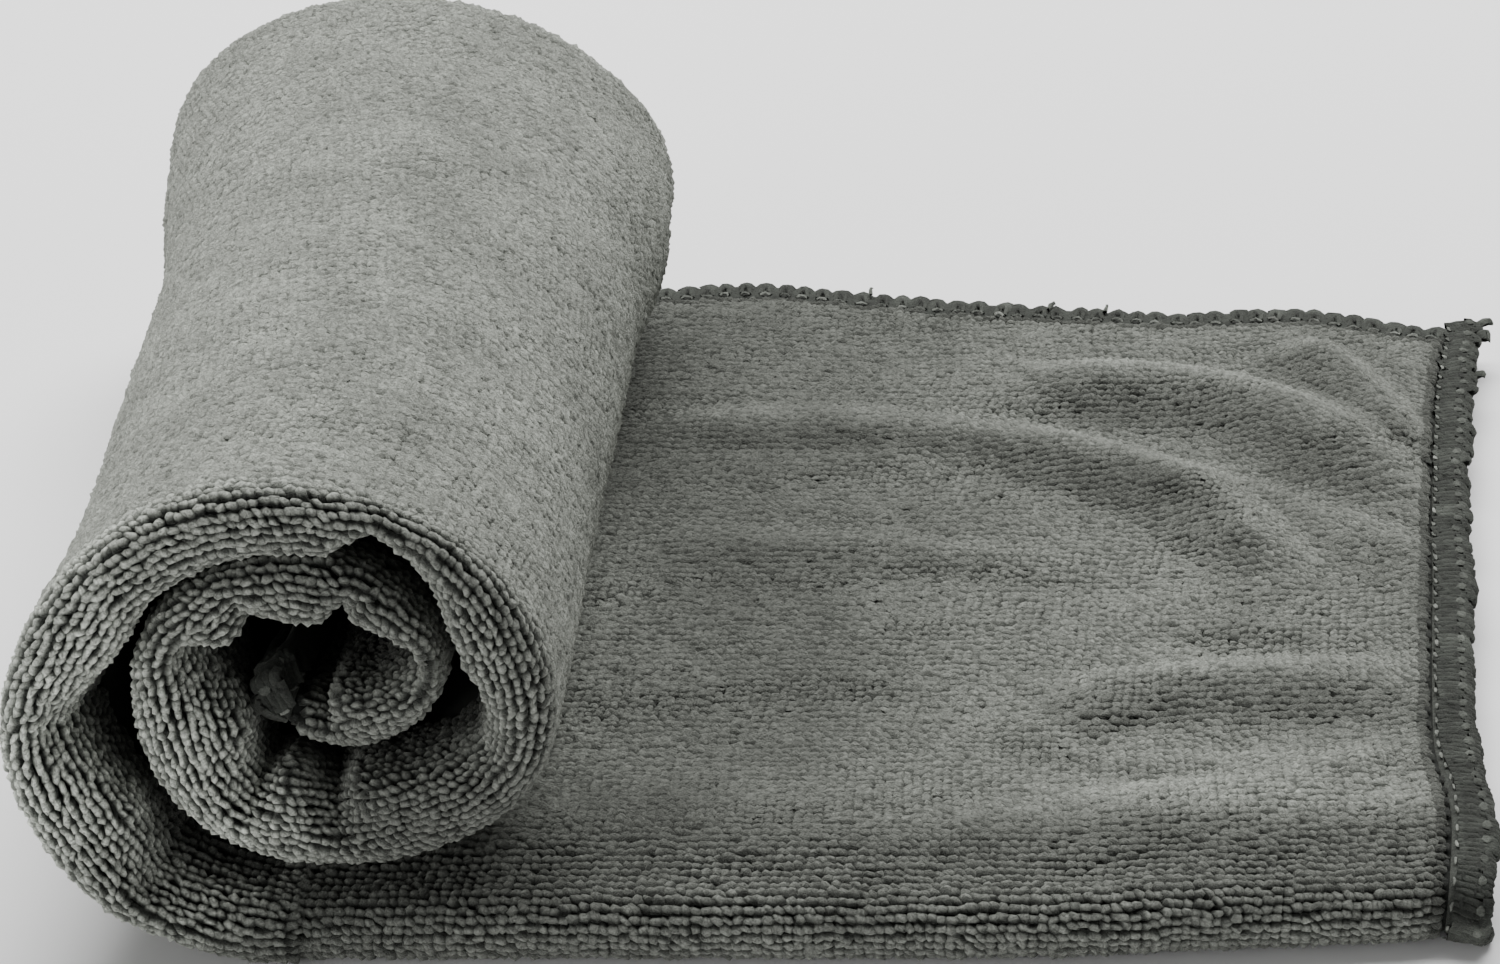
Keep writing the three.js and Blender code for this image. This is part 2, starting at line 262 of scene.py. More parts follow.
# %% [markdown]
# ## Pleats and wrinkles
#
# Where cloth is wound tight its inner layer has too much length, and it buckles into short
# pleats at the front. Each is a dent of the fold's inner half, steeper on one side. The flat
# part has long wrinkles from where it was pulled, and a few low ones and small creases.

# %% Pleats and wrinkles
PLEATS = table("turn before after out back reach", [
    (0.11, 0.09, 0.06, 7.0, 4.0, 26.0),
    (0.25, 0.07, 0.1, 6.0, 4.0, 30.0),
    (0.565, 0.03, 0.09, 4.0, 4.0, 24.0),
    (0.785, 0.1, 0.08, 5.5, 3.0, 26.0),
    (0.95, 0.07, 0.05, 7.0, 5.0, 26.0),
    (1.06, 0.05, 0.12, 4.5, 2.5, 24.0),
    (1.32, 0.12, 0.05, 6.0, 4.0, 24.0),
    (1.42, 0.03, 0.03, 2.5, 2.0, 20.0),
    (1.58, 0.04, 0.04, 3.0, 3.0, 20.0),
    (1.75, 0.09, 0.09, 4.5, 3.0, 20.0),
    (1.95, 0.07, 0.07, 3.5, 3.5, 20.0),
])
PLEAT_FROM = 0.2
PLEAT_FULL = 0.95
PLEAT_SHARP = 1.15
WRINKLES = table("x1 y1 x2 y2 x3 y3 x4 y4 high front back", [
    (106, 159, 132, 156, 153, 146, 169, 116, 3.8, 18, 9),
    (158, 173, 163, 163, 168, 150, 172, 134, 3.2, 12, 6),
    (44, 143, 66, 142, 88, 141, 108, 135.5, 1.4, 9, 9),
    (100, 138, 121, 129, 136, 116, 146, 94, 3.4, 14, 9),
    (126, 127, 141, 120, 155, 110, 168, 98, 1.4, 12, 8),
    (46, 103, 64, 104, 86, 102, 112, 96, 0.7, 9, 6),
    (106, 56, 122, 61, 142, 63.5, 163, 64, 2.4, 14, 8),
    (106, 27, 124, 29.5, 141, 34, 158, 43, 1.5, 10, 7),
])
CREASES = table("x1 y1 x2 y2 x3 y3 x4 y4 high front back", [
    (109, 45, 114, 48, 120, 51, 128, 52, -0.4, 5, 4),
    (116, 74, 128, 74.5, 138, 74, 150, 73, -0.5, 6, 6),
    (110, 40, 124, 39, 140, 39.5, 158, 42, 0.7, 6, 6),
])
print("pleats:", len(PLEATS["turn"]), "wrinkles:", len(WRINKLES["x1"]), "creases:", len(CREASES["x1"]))

# %% Height of the wrinkles
WRINKLE_STEPS = 40
WRINKLE_FRONT = 14.0
WRINKLE_BACK = 20.0
RIDGE_RISE = (-0.05, 0.25)
RIDGE_FALL = (1.1, 0.8)


def through_four(a, b, c, d, t):
    """A smooth curve that passes four values at even steps."""
    first = (1 - 3 * t) * (2 - 3 * t) * (1 - t) / 2
    second = 9 * t * (2 - 3 * t) * (1 - t) / 2
    third = 9 * t * (3 * t - 1) * (1 - t) / 2
    fourth = t * (3 * t - 1) * (3 * t - 2) / 2
    return a * first + b * second + c * third + d * fourth


def ridges_height(ridges, x, y):
    """Height of a table of ridges, each with its own reach to the front and to the back."""
    height = np.zeros_like(x)
    share = np.linspace(0.0, 1.0, WRINKLE_STEPS)
    for x1, y1, x2, y2, x3, y3, x4, y4, high, front, back in zip(*ridges.values()):
        crest_x = through_four(x1, x2, x3, x4, share)
        crest_y = through_four(y1, y2, y3, y4, share)
        away_x = x[..., None] - crest_x
        away_y = y[..., None] - crest_y
        distance = np.hypot(away_x, away_y)
        cross = np.gradient(crest_x) * away_y - np.gradient(crest_y) * away_x
        nearest = distance.argmin(axis=-1)[..., None]
        gap = np.take_along_axis(distance, nearest, -1)[..., 0]
        side = np.take_along_axis(cross, nearest, -1)[..., 0]
        at = share[nearest[..., 0]]
        reach = np.where(side < 0, front, back)
        ends = soft_step(*RIDGE_RISE, at) * soft_step(*RIDGE_FALL, at)
        height += high * ends * (1 - soft_step(0.0, reach, gap))
    return height


def wrinkle_height(x, y):
    """How much the wrinkles lift the top layer of the flat part."""
    return ridges_height(WRINKLES, x, y) + ridges_height(CREASES, x, y)


print("height on the longest wrinkle:", wrinkle_height(np.array([144.0]), np.array([152.0])).round(2))

# %% [markdown]
# ## From a place in the cloth to a point in space
#
# A place along the towel runs from 0 at the loose end to 1 under the roll, and then on by one
# for each turn of the winding. Across it, y runs from the front fold to the open edges and a
# height is measured from the outer face. The same three numbers place the cloth, the loops and
# the edging, so they all follow the same folds.

# %% Turns and edges at a place
def outside_at(turn, along):
    front = curve(WINDING, "turn", "outside", turn)
    return mix(front, curve(WINDING_BACK, "turn", "outside", turn), along)


def turn_at(place, along, cut):
    """Turns wound at a place along the towel, which are fewer towards the roll's back."""
    whole = mix(TURNS_FRONT, TURNS_BACK, along)
    radius = outside_at(whole, along) - LAYER
    return (whole - cut / (2 * math.pi * radius)) * (place - 1.0) / TURNS_FRONT


def flat_x(place, along, cut):
    end_x = curve(LOOSE_END, "along", "x", along) - cut
    return mix(end_x, curve(BODY, "along", "axis_x", along), np.minimum(place, 1.0))


def front_at(place, cut):
    """Where the front fold lies, from the front of the towel."""
    flat = curve(FRONT_LINE, "x", "y", flat_x(place, 0.0, cut))
    wound = curve(WINDING, "turn", "set_back", np.maximum(turn_at(place, 0.0, cut), 0.0))
    return np.where(place > 1.0, wound, flat)


def back_at(place, cut):
    """Where the open edges at the back lie."""
    flat = curve(BACK_LINE, "x", "y", flat_x(place, 1.0, cut))
    return np.where(place > 1.0, BACK_LINE["y"][0], flat)


print("turns wound at the back:", turn_at(1.0 + TURNS_FRONT, 1.0, 0.0).round(3))

# %% Thickness and pleats
def slanted(depth, tight):
    """Share of the full thickness, less near the fold except where the cloth is wound tight."""
    return 1 - SLANT * (1 - tight) * (1 - soft_step(FOLD_ROUND, SLANT_REACH, depth))


def thickness(place, y, cut):
    """Thickness of both layers together with the air between them."""
    front = front_at(place, cut)
    back = back_at(place, cut)
    along = (y - front) / (back - front)
    bulge = soft_step(FOLD_REACH, FOLD_ROUND, y - front)
    pressed = soft_step(PRESS_REACH, 0.0, flat_x(place, 0.0, cut))
    loose = LOOSE_THICK * mix(1.0, curve(BODY, "along", "high", along), pressed)
    fold = mix(FOLD_THICK, PRESSED_THICK, pressed)
    inner = soft_step(0, WRINKLE_FRONT, y - front) * soft_step(0, WRINKLE_BACK, back - y)
    flat = mix(loose, fold, bulge) * slanted(y - front, 0.0)
    flat = flat + wrinkle_height(flat_x(place, along, cut), y) * inner
    turn = np.maximum(turn_at(place, 0.0, cut), 0.0)
    thick = outside_at(turn, 0.0) - curve(WINDING, "turn", "inside", turn)
    tight = soft_step(0.0, WOUND_TIGHT, turn)
    wound = mix(LOOSE_THICK, thick, bulge) * slanted(y - front, tight)
    return np.where(place > 1.0, wound, flat)


def pleated(place, y, height, thick, cut):
    """Pushes the inner half of the fold outwards and back at each pleat."""
    turn = turn_at(place, 0.0, cut)
    share = soft_step(PLEAT_FROM, PLEAT_FULL, height / thick)
    depth = y - front_at(place, cut)
    new_y = y
    new_height = height
    for at, before, after, out, back, reach in zip(*PLEATS.values()):
        away = np.where(turn < at, (at - turn) / before, (turn - at) / after)
        near = np.clip(1.0 - away, 0.0, 1.0) ** PLEAT_SHARP
        weight = near * share * soft_step(reach, 0.0, depth)
        new_height = new_height - out * weight
        new_y = new_y + back * weight
    return new_y, new_height


# %% Points in space
def in_space(place, y, height, cut):
    """The point for a place along the towel, a distance y and a height over the outer face."""
    front = front_at(place, cut)
    back = back_at(place, cut)
    along = np.clip((y - front) / (back - front), 0.0, 1.1)
    turn = np.maximum(turn_at(place, along, cut), 0.0)
    core = soft_step(CORE_FROM, CORE_TO, turn) * (1 - along)
    axis_x = curve(BODY, "along", "axis_x", along) + CORE_FRONT_X * core
    high = curve(BODY, "along", "high", along)
    wide = curve(BODY, "along", "wide", along)
    lean = curve(BODY, "along", "lean", along)
    axis_z = (RING_RADIUS + (CORE_FRONT_Z - RING_RADIUS) * core) * high
    curl = BACK_CURL * soft_step(CURL_REACH, 0.0, back - y) * soft_step(0.0, WOUND_TIGHT, turn)
    radius = (outside_at(turn, along) - height) * (1 - curl)
    angle = 2 * math.pi * turn
    upward = -np.cos(angle) * radius / RING_RADIUS
    wound_x = axis_x - radius * np.sin(angle) * wide - lean * (1 + upward)
    wound_z = axis_z - radius * np.cos(angle) * high
    x = np.where(place > 1.0, wound_x, flat_x(place, along, cut))
    z = np.where(place > 1.0, wound_z, height)
    y = y + np.zeros_like(x)
    return np.stack([x - BOX_MIDDLE[0], y - BOX_MIDDLE[1], z], axis=-1)


# %% [markdown]
# ## The outline of the doubled cloth
#
# Across the towel the cloth goes from the open edge of the under layer to the fold, round it
# and back to the open edge of the top layer. The outline is the same list of shares in every
# section, so the sections join up without a seam, and the same outline serves the ground, the
# loops and the edging.

# %% Outline across the towel
FRONT_DENSITY = 1.3


def fold_outline(place, end_cut, steps):
    """Shares of depth and of thickness round the fold, which is fuller where it is wound."""
    angle = math.pi * (1 - np.cos(np.linspace(0.0, math.pi, steps + 1)[1:-1])) / 2
    tight = soft_step(0.0, WOUND_TIGHT, turn_at(place, 0.0, end_cut))
    upper = mix(UPPER_FULLNESS, WOUND_FULLNESS, tight)
    fullness = np.where(angle > math.pi / 2, upper, FOLD_FULLNESS)
    return 1 - np.sin(angle) ** fullness, (1 - np.cos(angle)) / 2


def face_outline(place, inset, cuts, steps):
    """One face across the towel, an inset away from the cloth's outer face, from edge to edge."""
    end_cut, back_cut = cuts
    round_depth = mix(FOLD_ROUND, CAVITY_ROUND, inset / LAYER)
    front = front_at(place, end_cut)
    back = back_at(place, end_cut) - back_cut
    flat_steps, fold_steps = steps
    share = np.linspace(0.0, 1.0, flat_steps + 1)[None, :] ** FRONT_DENSITY
    depth, lift = fold_outline(place, end_cut, fold_steps)
    flat_y = mix(front + inset + round_depth, back, share)
    top = thickness(place, flat_y, end_cut) - inset
    fold_y = front + inset + round_depth * depth
    fold_height = mix(inset, top[:, :1], lift[None, :])
    under = np.full_like(flat_y, inset)
    y = np.concatenate([flat_y[:, ::-1], fold_y, flat_y], axis=1)
    return y, np.concatenate([under, fold_height, top], axis=1)


def places(flat_count, per_turn):
    """Places along the towel, closer together where the roll is wound tighter."""
    flat = np.linspace(0.0, 1.0, flat_count + 1)
    wound = []
    for start, count in enumerate(per_turn):
        span = min(1.0, TURNS_FRONT - start)
        wound.append(np.linspace(start, start + span, int(count * span) + 1)[1:])
    return np.concatenate([flat, 1.0 + np.concatenate(wound)])[:, None]


# %% [markdown]
# ## Mesh helpers
#
# Every piece is a plain mesh in the frame of the fixed part. Its vertices are worked out in
# millimetres and written in metres.

# %% Mesh helpers
def new_piece(name, points, faces, material):
    """A smooth mesh from points in millimetres and faces with the same number of corners."""
    mesh = bpy.data.meshes.new(name)
    points = np.asarray(points, float).reshape(-1, 3) * MM
    faces = np.asarray(faces, int)
    mesh.vertices.add(len(points))
    mesh.vertices.foreach_set("co", points.ravel())
    mesh.loops.add(faces.size)
    mesh.loops.foreach_set("vertex_index", faces.ravel())
    mesh.polygons.add(len(faces))
    mesh.polygons.foreach_set("loop_start", np.arange(len(faces)) * faces.shape[1])
    mesh.update(calc_edges=True)
    mesh.validate()
    mesh.polygons.foreach_set("use_smooth", np.ones(len(faces), bool))
    mesh.materials.append(material)
    return new_object(name, mesh)


def float_attribute(mesh, name, values):
    mesh.attributes.new(name, "FLOAT", "POINT").data.foreach_set("value", values)


def fasten(piece, stands_for=None):
    """Fixes a piece to the towel and hides the fixed node that it stands for."""
    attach(piece, "root")
    if stands_for:
        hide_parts(stands_for)
    print(piece.name, len(piece.data.polygons), "faces")
    return piece


def closed_faces(points):
    """Faces round rows of closed sections, with a cap at each end, all facing outwards."""
    rows, columns = points.shape[:2]
    row = np.arange(rows - 1)[:, None]
    column = np.arange(columns)[None, :]
    following = (column + 1) % columns
    corners = [row * columns + column, row * columns + following,
               (row + 1) * columns + following, (row + 1) * columns + column]
    sides = np.stack(corners, axis=-1).reshape(-1, 4)
    near = np.arange(columns // 2 - 1)
    far = columns - 1 - near
    cap = np.stack([near, far, far - 1, near + 1], axis=-1)
    faces = np.concatenate([sides, cap, (rows - 1) * columns + cap[:, ::-1]])
    a, b, c, d = (points.reshape(-1, 3)[faces[:, corner]] for corner in range(4))
    volume = (np.cross(a, b) * c).sum() + (np.cross(a, c) * d).sum()
    return faces if volume > 0 else faces[:, ::-1]


# %% [markdown]
# ## Materials
#
# The pile is microfibre: matt and soft. An image could show its loops, but they would have no depth
# and would repeat. Here every loop is real, and the material only adds what is smaller: tangled
# fibres and soft patches. Each loop is painted darker towards its root, as painted shade where light
# hardly reaches between loops, and the pile deep in the winding is painted darker still. Both are
# stored on the meshes, as "tip" and "shade"; "shade" also holds painted light and shade by region.
# The yarn of the edging is smoother and darker, and "tone" tells its light needle thread from its
# looper threads; its lowest tones are painted shade in holes and dents, and its knots are painted
# lighter as painted glints.

# %% Node helper
def add_node(tree, kind, values=(), **settings):
    """A new node with its settings; each of its named inputs takes a value or a link."""
    node = tree.nodes.new(kind)
    for label, value in settings.items():
        setattr(node, label, value)
    for label, value in dict(values).items():
        if isinstance(value, bpy.types.NodeSocket):
            tree.links.new(value, node.inputs[label])
        else:
            node.inputs[label].default_value = value
    return node


def number_socket(tree, label, direction):
    return tree.interface.new_socket(label, in_out=direction, socket_type="NodeSocketFloat")


# %% Shader helpers
SHEEN_TINT = (0.8, 0.83, 0.74, 1.0)


def new_material(name, roughness, sheen):
    """A cloth material with constant sheen, and its nodes for the rest."""
    material = bpy.data.materials.new(name)
    material.use_nodes = True
    shader = material.node_tree.nodes["Principled BSDF"]
    constants = {
        "Roughness": roughness,
        "Specular IOR Level": 0.2,
        "Sheen Weight": sheen,
        "Sheen Roughness": 0.55,
        "Sheen Tint": SHEEN_TINT,
    }
    for label, value in constants.items():
        shader.inputs[label].default_value = value
    return material, material.node_tree, shader


def attribute(tree, name):
    return add_node(tree, "ShaderNodeAttribute", attribute_name=name).outputs["Fac"]


def noise(tree, scale, detail, swirl=0.0, rough=0.5):
    """Noise on the object's own coordinates."""
    place = add_node(tree, "ShaderNodeTexCoord").outputs["Object"]
    shape = {"Scale": scale, "Detail": detail, "Distortion": swirl, "Roughness": rough}
    return add_node(tree, "ShaderNodeTexNoise", {"Vector": place, **shape}).outputs["Fac"]


def ramp(tree, value, stops):
    """A colour ramp through (position, colour) stops."""
    node = add_node(tree, "ShaderNodeValToRGB", {"Fac": value})
    elements = node.color_ramp.elements
    for element, (position, colour) in zip(elements, (stops[0], stops[-1])):
        element.position = position
        element.color = (*colour, 1.0)
    for position, colour in stops[1:-1]:
        element = elements.new(position)
        element.color = (*colour, 1.0)
    return node.outputs["Color"]


def multiply(tree, *colours):
    """The product of several colours."""
    result = colours[0]
    for colour in colours[1:]:
        factors = {"Factor": 1.0, "A": result, "B": colour}
        node = add_node(tree, "ShaderNodeMix", factors, data_type="RGBA", blend_type="MULTIPLY")
        result = node.outputs["Result"]
    return result


def bump(tree, height, shader, distance):
    values = {"Height": height, "Distance": distance * MM, "Strength": 1.0}
    normal = add_node(tree, "ShaderNodeBump", values).outputs["Normal"]
    tree.links.new(normal, shader.inputs["Normal"])


# %% Shared fibres
FIBRE_NOISE = (4.0, 0.9, 0.7)
FIBRE_RANGE = (0.36, 0.62)


def fibre_group():
    """Fine tangled fibres: a level of light between Dark and Light, and a height."""
    group = bpy.data.node_groups.new("cloth_fibres", "ShaderNodeTree")
    for label in ("Scale", "Dark", "Light"):
        number_socket(group, label, "INPUT")
    for label in ("Level", "Height"):
        number_socket(group, label, "OUTPUT")
    start = add_node(group, "NodeGroupInput").outputs
    height = noise(group, start["Scale"], *FIBRE_NOISE)
    limits = dict(zip(("From Min", "From Max"), FIBRE_RANGE))
    limits.update({"To Min": start["Dark"], "To Max": start["Light"]})
    level = add_node(group, "ShaderNodeMapRange", {"Value": height, **limits})
    add_node(group, "NodeGroupOutput", {"Level": level.outputs["Result"], "Height": height})
    return group


def fibres(tree, scale, dark, light):
    """The level and the height of the shared fibres, at a scale of their own."""
    values = {"Scale": scale, "Dark": dark, "Light": light}
    node = add_node(tree, "ShaderNodeGroup", values, node_tree=FIBRES)
    return node.outputs["Level"], node.outputs["Height"]


FIBRES = fibre_group()
print("shared effect:", FIBRES.name, len(FIBRES.nodes), "nodes")

# %% Pile and yarn materials
# Painted shade: the near black of loop roots, of holes and dents in the edging, and of the ground.
PAINTED_SHADE_GREY = (0.006, 0.007, 0.006)
# The pile is painted in shade towards its roots and has its own colour at the tips.
PILE_TONES = [
    (0.35, PAINTED_SHADE_GREY),
    (0.66, (0.09, 0.096, 0.085)),
    (0.9, (0.27, 0.283, 0.253)),
]
YARN_TONES = [
    (0.0, PAINTED_SHADE_GREY),
    (0.2, (0.024, 0.027, 0.023)),
    (0.45, (0.06, 0.066, 0.057)),
    (0.75, (0.14, 0.15, 0.132)),
    (1.0, (0.62, 0.64, 0.58)),
]
PATCH_RANGE = (0.35, 0.65)
PATCH_DETAIL = 3.0


def patches(tree, scale, levels):
    """Soft patches of grey between two levels."""
    stops = [(at, (level,) * 3) for at, level in zip(PATCH_RANGE, levels)]
    return ramp(tree, noise(tree, scale, PATCH_DETAIL), stops)


def spun_material(name, finish, along, tones, uneven, fibre, relief):
    """Spun microfibre: tones by an attribute, in patches, with fine fibres and its own shade."""
    material, tree, shader = new_material(name, *finish)
    colour = ramp(tree, attribute(tree, along), tones)
    level, height = fibres(tree, *fibre)
    colour = multiply(tree, colour, patches(tree, *uneven), level, attribute(tree, "shade"))
    tree.links.new(colour, shader.inputs["Base Color"])
    bump(tree, height, shader, relief)
    return material


PILE = spun_material(
    "towel_pile",
    finish=(0.95, 0.35),
    along="tip",
    tones=PILE_TONES,
    uneven=(60.0, (0.78, 1.06)),
    fibre=(1700.0, 0.4, 1.25),
    relief=0.5,
)
YARN = spun_material(
    "edging_yarn_spun",
    finish=(0.85, 0.2),
    along="tone",
    tones=YARN_TONES,
    uneven=(420.0, (0.5, 1.25)),
    fibre=(2200.0, 0.6, 1.12),
    relief=0.3,
)
print("materials:", PILE.name, YARN.name)

# %% Ground material
# Painted shade: the ground between the loops is painted nearly black.
GROUND_TONES = [(0.0, (0.0036, 0.0042, 0.0036)), (1.0, PAINTED_SHADE_GREY)]


def ground_material():
    """The woven ground between the loops, painted nearly black as the shade between them."""
    material, tree, shader = new_material("towel_ground", 1.0, 0.1)
    level, height = fibres(tree, 1500.0, 0.0, 1.0)
    tree.links.new(ramp(tree, level, GROUND_TONES), shader.inputs["Base Color"])
    bump(tree, height, shader, 0.2)
    return material


WOVEN = ground_material()
print("material:", WOVEN.name)

# %% [markdown]
# ## The ground of the cloth
#
# Under the loops lies the woven ground that holds them. It is one closed sheet: both layers and
# the fold between them. A single surface with a Solidify modifier would cross itself in the tight
# turns, so both faces are worked out from the winding. The sheet lies a pile's height under the
# faces of the fixed part, so that the tips of the loops reach those faces.

# %% Cloth ground
PILE_HEIGHT = 1.2
GROUND_THICK = 1.0
GROUND_CUTS = (4.6, 4.6)
SHELL_PLACES = (44, (84, 60, 48))
SHELL_ACROSS = (26, 12)


def ground_points(place):
    """Closed sections: the outer face, then the cavity's face back again."""
    outer = face_outline(place, PILE_HEIGHT, GROUND_CUTS, SHELL_ACROSS)
    inner = face_outline(place, PILE_HEIGHT + GROUND_THICK, GROUND_CUTS, SHELL_ACROSS)
    y, height = [np.concatenate([a, b[:, ::-1]], axis=1) for a, b in zip(outer, inner)]
    end_cut = GROUND_CUTS[0]
    y, height = pleated(place, y, height, thickness(place, y, end_cut), end_cut)
    return in_space(place, y, height, end_cut)


def make_ground():
    points = ground_points(places(*SHELL_PLACES))
    piece = new_piece("cloth_ground", points, closed_faces(points), WOVEN)
    return fasten(piece, "towel_cloth")


ground = make_ground()

# %% [markdown]
# ## Where the loops stand
#
# The loops stand in rows that run along the towel, 1.4 mm apart at their tips, so they are closer
# at their roots where the cloth bends round its front fold. The rows are laid over a fine grid of
# the cloth's outer face, each a fixed way round from the fold, and then cut into loops at an even
# step.

# %% Fine grid of the outer face
TIP_INSET = 0.4
GRID_PLACES = (230, (330, 210, 170))
GRID_ACROSS = (230, 30)
FOLD_COLUMN = GRID_ACROSS[0] + GRID_ACROSS[1] // 2
PILE_CUT = 7.0
SIDE_PILE_CUT = 5.0
WOUND_PILE_CUT = 1.0
CUT_CHANGES = (1.0, 1.06)


def pile_grid(inset):
    """Points and depths at an inset from the outer face, from the under to the top layer."""
    place = places(*GRID_PLACES)
    side_cut = mix(SIDE_PILE_CUT, WOUND_PILE_CUT, soft_step(*CUT_CHANGES, place))
    y, height = face_outline(place, inset, (PILE_CUT, side_cut), GRID_ACROSS)
    depth = y - front_at(place, PILE_CUT)
    y, height = pleated(place, y, height, thickness(place, y, PILE_CUT), PILE_CUT)
    return place[:, 0], depth, in_space(place, y, height, PILE_CUT)


grid_place, grid_depth, grid_points = pile_grid(PILE_HEIGHT)
print("grid:", grid_points.shape)

# %% Rows of loops
ROW_PITCH = 1.42
LOOP_PITCH = 1.4


def cumulative(points, axis):
    """Length run so far along one axis of a grid of points."""
    step = np.linalg.norm(np.diff(points, axis=axis), axis=-1)
    start = np.zeros_like(np.take(step, [0], axis=axis))
    return np.cumsum(np.concatenate([start, step], axis=axis), axis=axis)


def sample(grid, row, column):
    """Values of a grid at fractional rows and columns."""
    low_row = np.clip(row.astype(int), 0, grid.shape[0] - 2)
    low_column = np.clip(column.astype(int), 0, grid.shape[1] - 2)
    r = row - low_row
    c = column - low_column
    if grid.ndim == 3:
        r, c = r[:, None], c[:, None]
    top = mix(grid[low_row, low_column], grid[low_row, low_column + 1], c)
    bottom = mix(grid[low_row + 1, low_column], grid[low_row + 1, low_column + 1], c)
    return mix(top, bottom, r)


def loop_places(points, tips):
    """Fractional grid rows and columns of every loop; the rows are spaced evenly at the tips."""
    around = cumulative(tips, 1)
    around = around - around[:, FOLD_COLUMN, None]
    columns = np.arange(points.shape[1])
    grid_rows = np.arange(points.shape[0])
    found = []
    first = int(np.ceil(around[:, 0].min() / ROW_PITCH))
    last = int(around[:, -1].max() / ROW_PITCH)
    for number in range(first, last + 1):
        at = number * ROW_PITCH
        column = np.array([np.interp(at, line, columns) for line in around])
        inside = (at > around[:, 0]) & (at < around[:, -1])
        line = sample(points, grid_rows.astype(float), column)
        length = cumulative(line, 0)
        steps = np.arange(0.5 * LOOP_PITCH, length[-1], LOOP_PITCH)
        row = np.interp(steps, length, grid_rows)
        keep = inside[np.round(row).astype(int)]
        found.append(np.stack([row, np.interp(row, grid_rows, column)], axis=-1)[keep])
    return np.concatenate(found)


loops = loop_places(grid_points, pile_grid(TIP_INSET)[2])
print("loops in the whole cloth:", len(loops))

# %% [markdown]
# ## Which loops are kept
#
# The whole outside of the roll and the top of the flat part are covered. Deeper in the winding
# only the loops near the front fold and near the open edges can be seen, so the rest is left to
# the ground, which is painted nearly black as painted shade.

# %% Loops that show
SHOWN_FRONT = 15.0
SHOWN_CORE = 24.0
SHOWN_BACK = 13.0
SHOWN_UNDER = 6.0
SHOWN_TURN = 1.03
CORE_TURN = 1.35
CONTACT_X = 16.0


def loop_facts(row, column):
    """Where each loop stands: its place, depth, distance to the back, turn, and which layer."""
    place = sample(grid_place[:, None] + np.zeros(grid_points.shape[:2]), row, column)
    depth = sample(grid_depth, row, column)
    back = back_at(place, PILE_CUT) - front_at(place, PILE_CUT) - depth
    return place, depth, back, place - 1.0, column > FOLD_COLUMN


def shown(row, column):
    """Which loops are kept, by where they stand."""
    place, depth, back, turn, top = loop_facts(row, column)
    flat = turn <= 0.0
    near_front = depth < np.where(turn > CORE_TURN, SHOWN_CORE, SHOWN_FRONT)
    open_top = flat & top & (flat_x(place, 0.0, PILE_CUT) > CONTACT_X)
    outside = ~flat & ~top & (turn < SHOWN_TURN)
    wound = ~flat & (near_front | (back < SHOWN_BACK))
    under = flat & ~top & (depth < SHOWN_UNDER)
    return open_top | outside | wound | under | (flat & top & near_front)


loops = loops[shown(*loops.T)]
print("loops that show:", len(loops))

# %% [markdown]
# ## How each loop stands
#
# A loop points out of the cloth and lies along its row. The pile is never combed: it leans a
# little this way and that in soft patches, and each loop has its own twist and size. Where the
# cloth is stretched over the roll the loops lie wide and close up, round the fold they stand
# apart and every one is seen, and inside the winding they are painted dark, as painted shade.

# %% Directions on the grid
PATCH_WAVES = 6
PATCH_SPREAD = (0.7, 1.6)


def unit(vectors):
    """The same directions with a length of 1."""
    return vectors / np.maximum(np.linalg.norm(vectors, axis=-1, keepdims=True), 1e-9)


def grid_directions(points):
    """Unit vectors along the towel, across it and out of it, on the fine grid."""
    along = np.gradient(points, axis=0)
    across = np.gradient(points, axis=1)
    return unit(along), unit(across), unit(np.cross(across, along))


def soft_patches(points, size, seed):
    """Smooth values from -1 to 1 that change over about the given size."""
    random = np.random.default_rng(seed)
    total = np.zeros(len(points))
    for _ in range(PATCH_WAVES):
        direction = unit(random.normal(size=3))
        wave = 2 * math.pi / (size * random.uniform(*PATCH_SPREAD))
        total += np.sin(points @ direction * wave + random.uniform(0, 2 * math.pi))
    return total / (PATCH_WAVES / 2)


GRID_DIRECTIONS = grid_directions(grid_points)
print("one direction out of the cloth:", GRID_DIRECTIONS[2][100, 400].round(2))

# %% Looks and shades by region
FOLD_LOOK = (8.0, 22.0)
CREST_LOOK = (2.5, 9.0)
RING_LOOK = (0.0, 0.08)
# The rows are the fold, the ring at the roll's mouth, the roll's outside and the flat part.
LOOKS = table("length width soft plain open slant", [
    (1.3, 1.1, 0.42, 0.08, 0.0, 0.2),
    (1.34, 1.0, 0.28, 0.0, 0.0, 0.2),
    (1.5, 1.5, 0.66, 0.5, 0.4, 0.0),
    (1.42, 1.2, 0.66, 0.36, 0.6, 0.08),
])
# Painted light and shade: FLAT_SHADE sets how light the pile is painted by depth from the fold on the
# flat part, and RING_SHADE by turn on the ring at the roll's mouth.
FLAT_SHADE = table("depth shade", [
    (0, 1.1),
    (2, 0.76),
    (4, 0.52),
    (9, 0.42),
    (18, 0.42),
    (26, 0.55),
    (200, 0.55),
])
RING_SHADE = table("turn shade", [
    (0.0, 2.1),
    (0.1, 2.2),
    (0.25, 3.1),
    (0.4, 2.4),
    (0.55, 1.45),
    (0.75, 1.15),
    (0.9, 0.85),
    (1.0, 0.88),
    (1.2, 2.8),
    (1.35, 2.5),
    (1.5, 1.65),
    (1.7, 1.15),
    (1.85, 1.0),
    (2.2, 1.0),
])
print("regions with looks of their own:", len(LOOKS["length"]))
